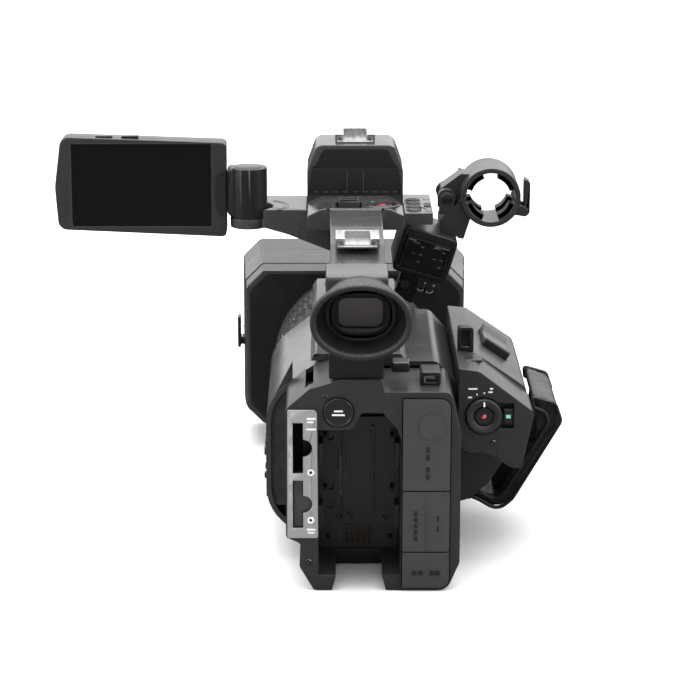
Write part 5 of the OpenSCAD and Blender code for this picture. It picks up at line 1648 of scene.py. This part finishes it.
def strapOutline():  # the CAD strap's own edge, as seen from behind
    bm = bmesh.new()
    bm.from_mesh(nodes["hand_strap"].data)
    bmesh.ops.remove_doubles(bm, verts=bm.verts, dist=0.004 * mm)
    bmesh.ops.dissolve_limit(bm, angle_limit=math.radians(0.6), verts=bm.verts, edges=bm.edges)
    rear = min((face for face in bm.faces if face.normal.y < -0.9), key=lambda face: -face.calc_area())
    outline = [Vector((loop.vert.co.x, loop.vert.co.z)) for loop in rear.loops]
    bm.free()
    if sum(a.x * b.y - b.x * a.y for a, b in zip(outline, outline[1:] + outline[:1])) < 0:
        outline.reverse()
    return outline


def evenOutline(outline, pitch):  # the same closed line, with points at an even pitch
    points = []
    for here, there in zip(outline, outline[1:] + outline[:1]):
        count = max(1, round((there - here).length / pitch))
        points += [here.lerp(there, step / count) for step in range(count)]
    return points


def insetOutline(points, amount):
    moved = []
    for index, here in enumerate(points):
        along = (points[(index + 1) % len(points)] - points[index - 1]).normalized()
        moved.append(here + Vector((-along.y, along.x)) * amount)
    return moved


def inflate(pad, look):
    before = [vert.co.copy() for vert in pad.data.vertices]
    cloth = pad.modifiers.new("cloth", "CLOTH")
    cloth.settings.use_pressure = True
    cloth.settings.uniform_pressure_force = look["pressure"]
    cloth.settings.effector_weights.gravity = 0
    cloth.settings.quality = 4
    cloth.collision_settings.use_collision = False
    cloth.point_cache.frame_start = 1
    cloth.point_cache.frame_end = look["frames"]
    scene = bpy.context.scene
    for frameNumber in range(1, look["frames"] + 1):
        scene.frame_set(frameNumber)
    applyModifiers(pad)
    scene.frame_set(1)
    for vert, start in zip(pad.data.vertices, before):
        moved = vert.co - start
        if moved.length > look["cap"] * mm:
            vert.co = start + moved.normalized() * look["cap"] * mm


def addStrap(look):
    low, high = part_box("hand_strap")
    outline = evenOutline(strapOutline(), 2.2 * mm)
    slim = insetOutline(outline, look["shrink"] * mm)
    inset = look["rimInset"] * mm
    bm = bmesh.new()
    loftShape(bm, [[Vector((point.x, y, point.y)) for point in slim]
                   for y in (low.y + inset, high.y - inset)])
    bmesh.ops.triangulate(bm, faces=[face for face in bm.faces if len(face.verts) > 4])
    pad = newPiece("strapPad", bm)
    remesh = pad.modifiers.new("evenMesh", "REMESH")
    remesh.mode = "VOXEL"
    remesh.voxel_size = look["voxel"] * mm
    applyModifiers(pad)
    inflate(pad, look)
    smooth = pad.modifiers.new("relax", "SMOOTH")
    smooth.factor = 0.5
    smooth.iterations = 3
    finer = pad.modifiers.new("finer", "SUBSURF")
    finer.levels = finer.render_levels = 1
    applyModifiers(pad, 80)
    settle(pad, "camera", "strapLeather", ("hand_strap",))
    rim = insetOutline(outline, 1.1 * mm)
    for index, y in enumerate((low.y + 1.4 * mm, high.y - 1.4 * mm)):
        bm = bmesh.new()
        count = len(rim)
        sections = []
        for position, point in enumerate(rim):
            along = (rim[(position + 1) % count] - rim[position - 1]).normalized()
            side = Vector((-along.y, 0, along.x))
            section = []
            for step in range(10):
                angle = 2 * math.pi * step / 10
                section.append(Vector((point.x, y, point.y))
                               + (side * math.cos(angle) + Vector((0, 1, 0)) * math.sin(angle))
                               * look["piping"] * mm)
            sections.append(section)
        loftShape(bm, sections, ring=True)
        settle(newPiece("strapPiping%d" % index, bm, 60), "camera", "strapLeather")
    surface = BVHTree.FromObject(pad, bpy.context.evaluated_depsgraph_get())
    bm = bmesh.new()
    pitch = look["stitch"] + look["stitchGap"]
    row = evenOutline(strapOutline(), pitch * mm)
    for position, point in enumerate(row):
        along = (row[(position + 1) % len(row)] - row[position - 1]).normalized()
        outward = Vector((along.y, 0, -along.x))
        for y in (low.y + 5.2 * mm, high.y - 5.2 * mm):
            start = Vector((point.x, y, point.y)) + outward * 4 * mm
            hit = surface.ray_cast(start, -outward, 9 * mm)[0]
            if hit is None:
                continue
            made = boxShape(bm, (-look["stitch"] / 2 * mm, -0.28 * mm, -0.22 * mm),
                            (look["stitch"] / 2 * mm, 0.28 * mm, 0.22 * mm))
            turn = Matrix(((along.x, 0, outward.x), (0, 1, 0), (along.y, 0, outward.z))).to_4x4()
            bmesh.ops.transform(bm, verts=made, matrix=Matrix.Translation(hit) @ turn)
    settle(newPiece("strapStitches", bm), "camera", "strapWeave")


addStrap(strap)
print("strap ready")
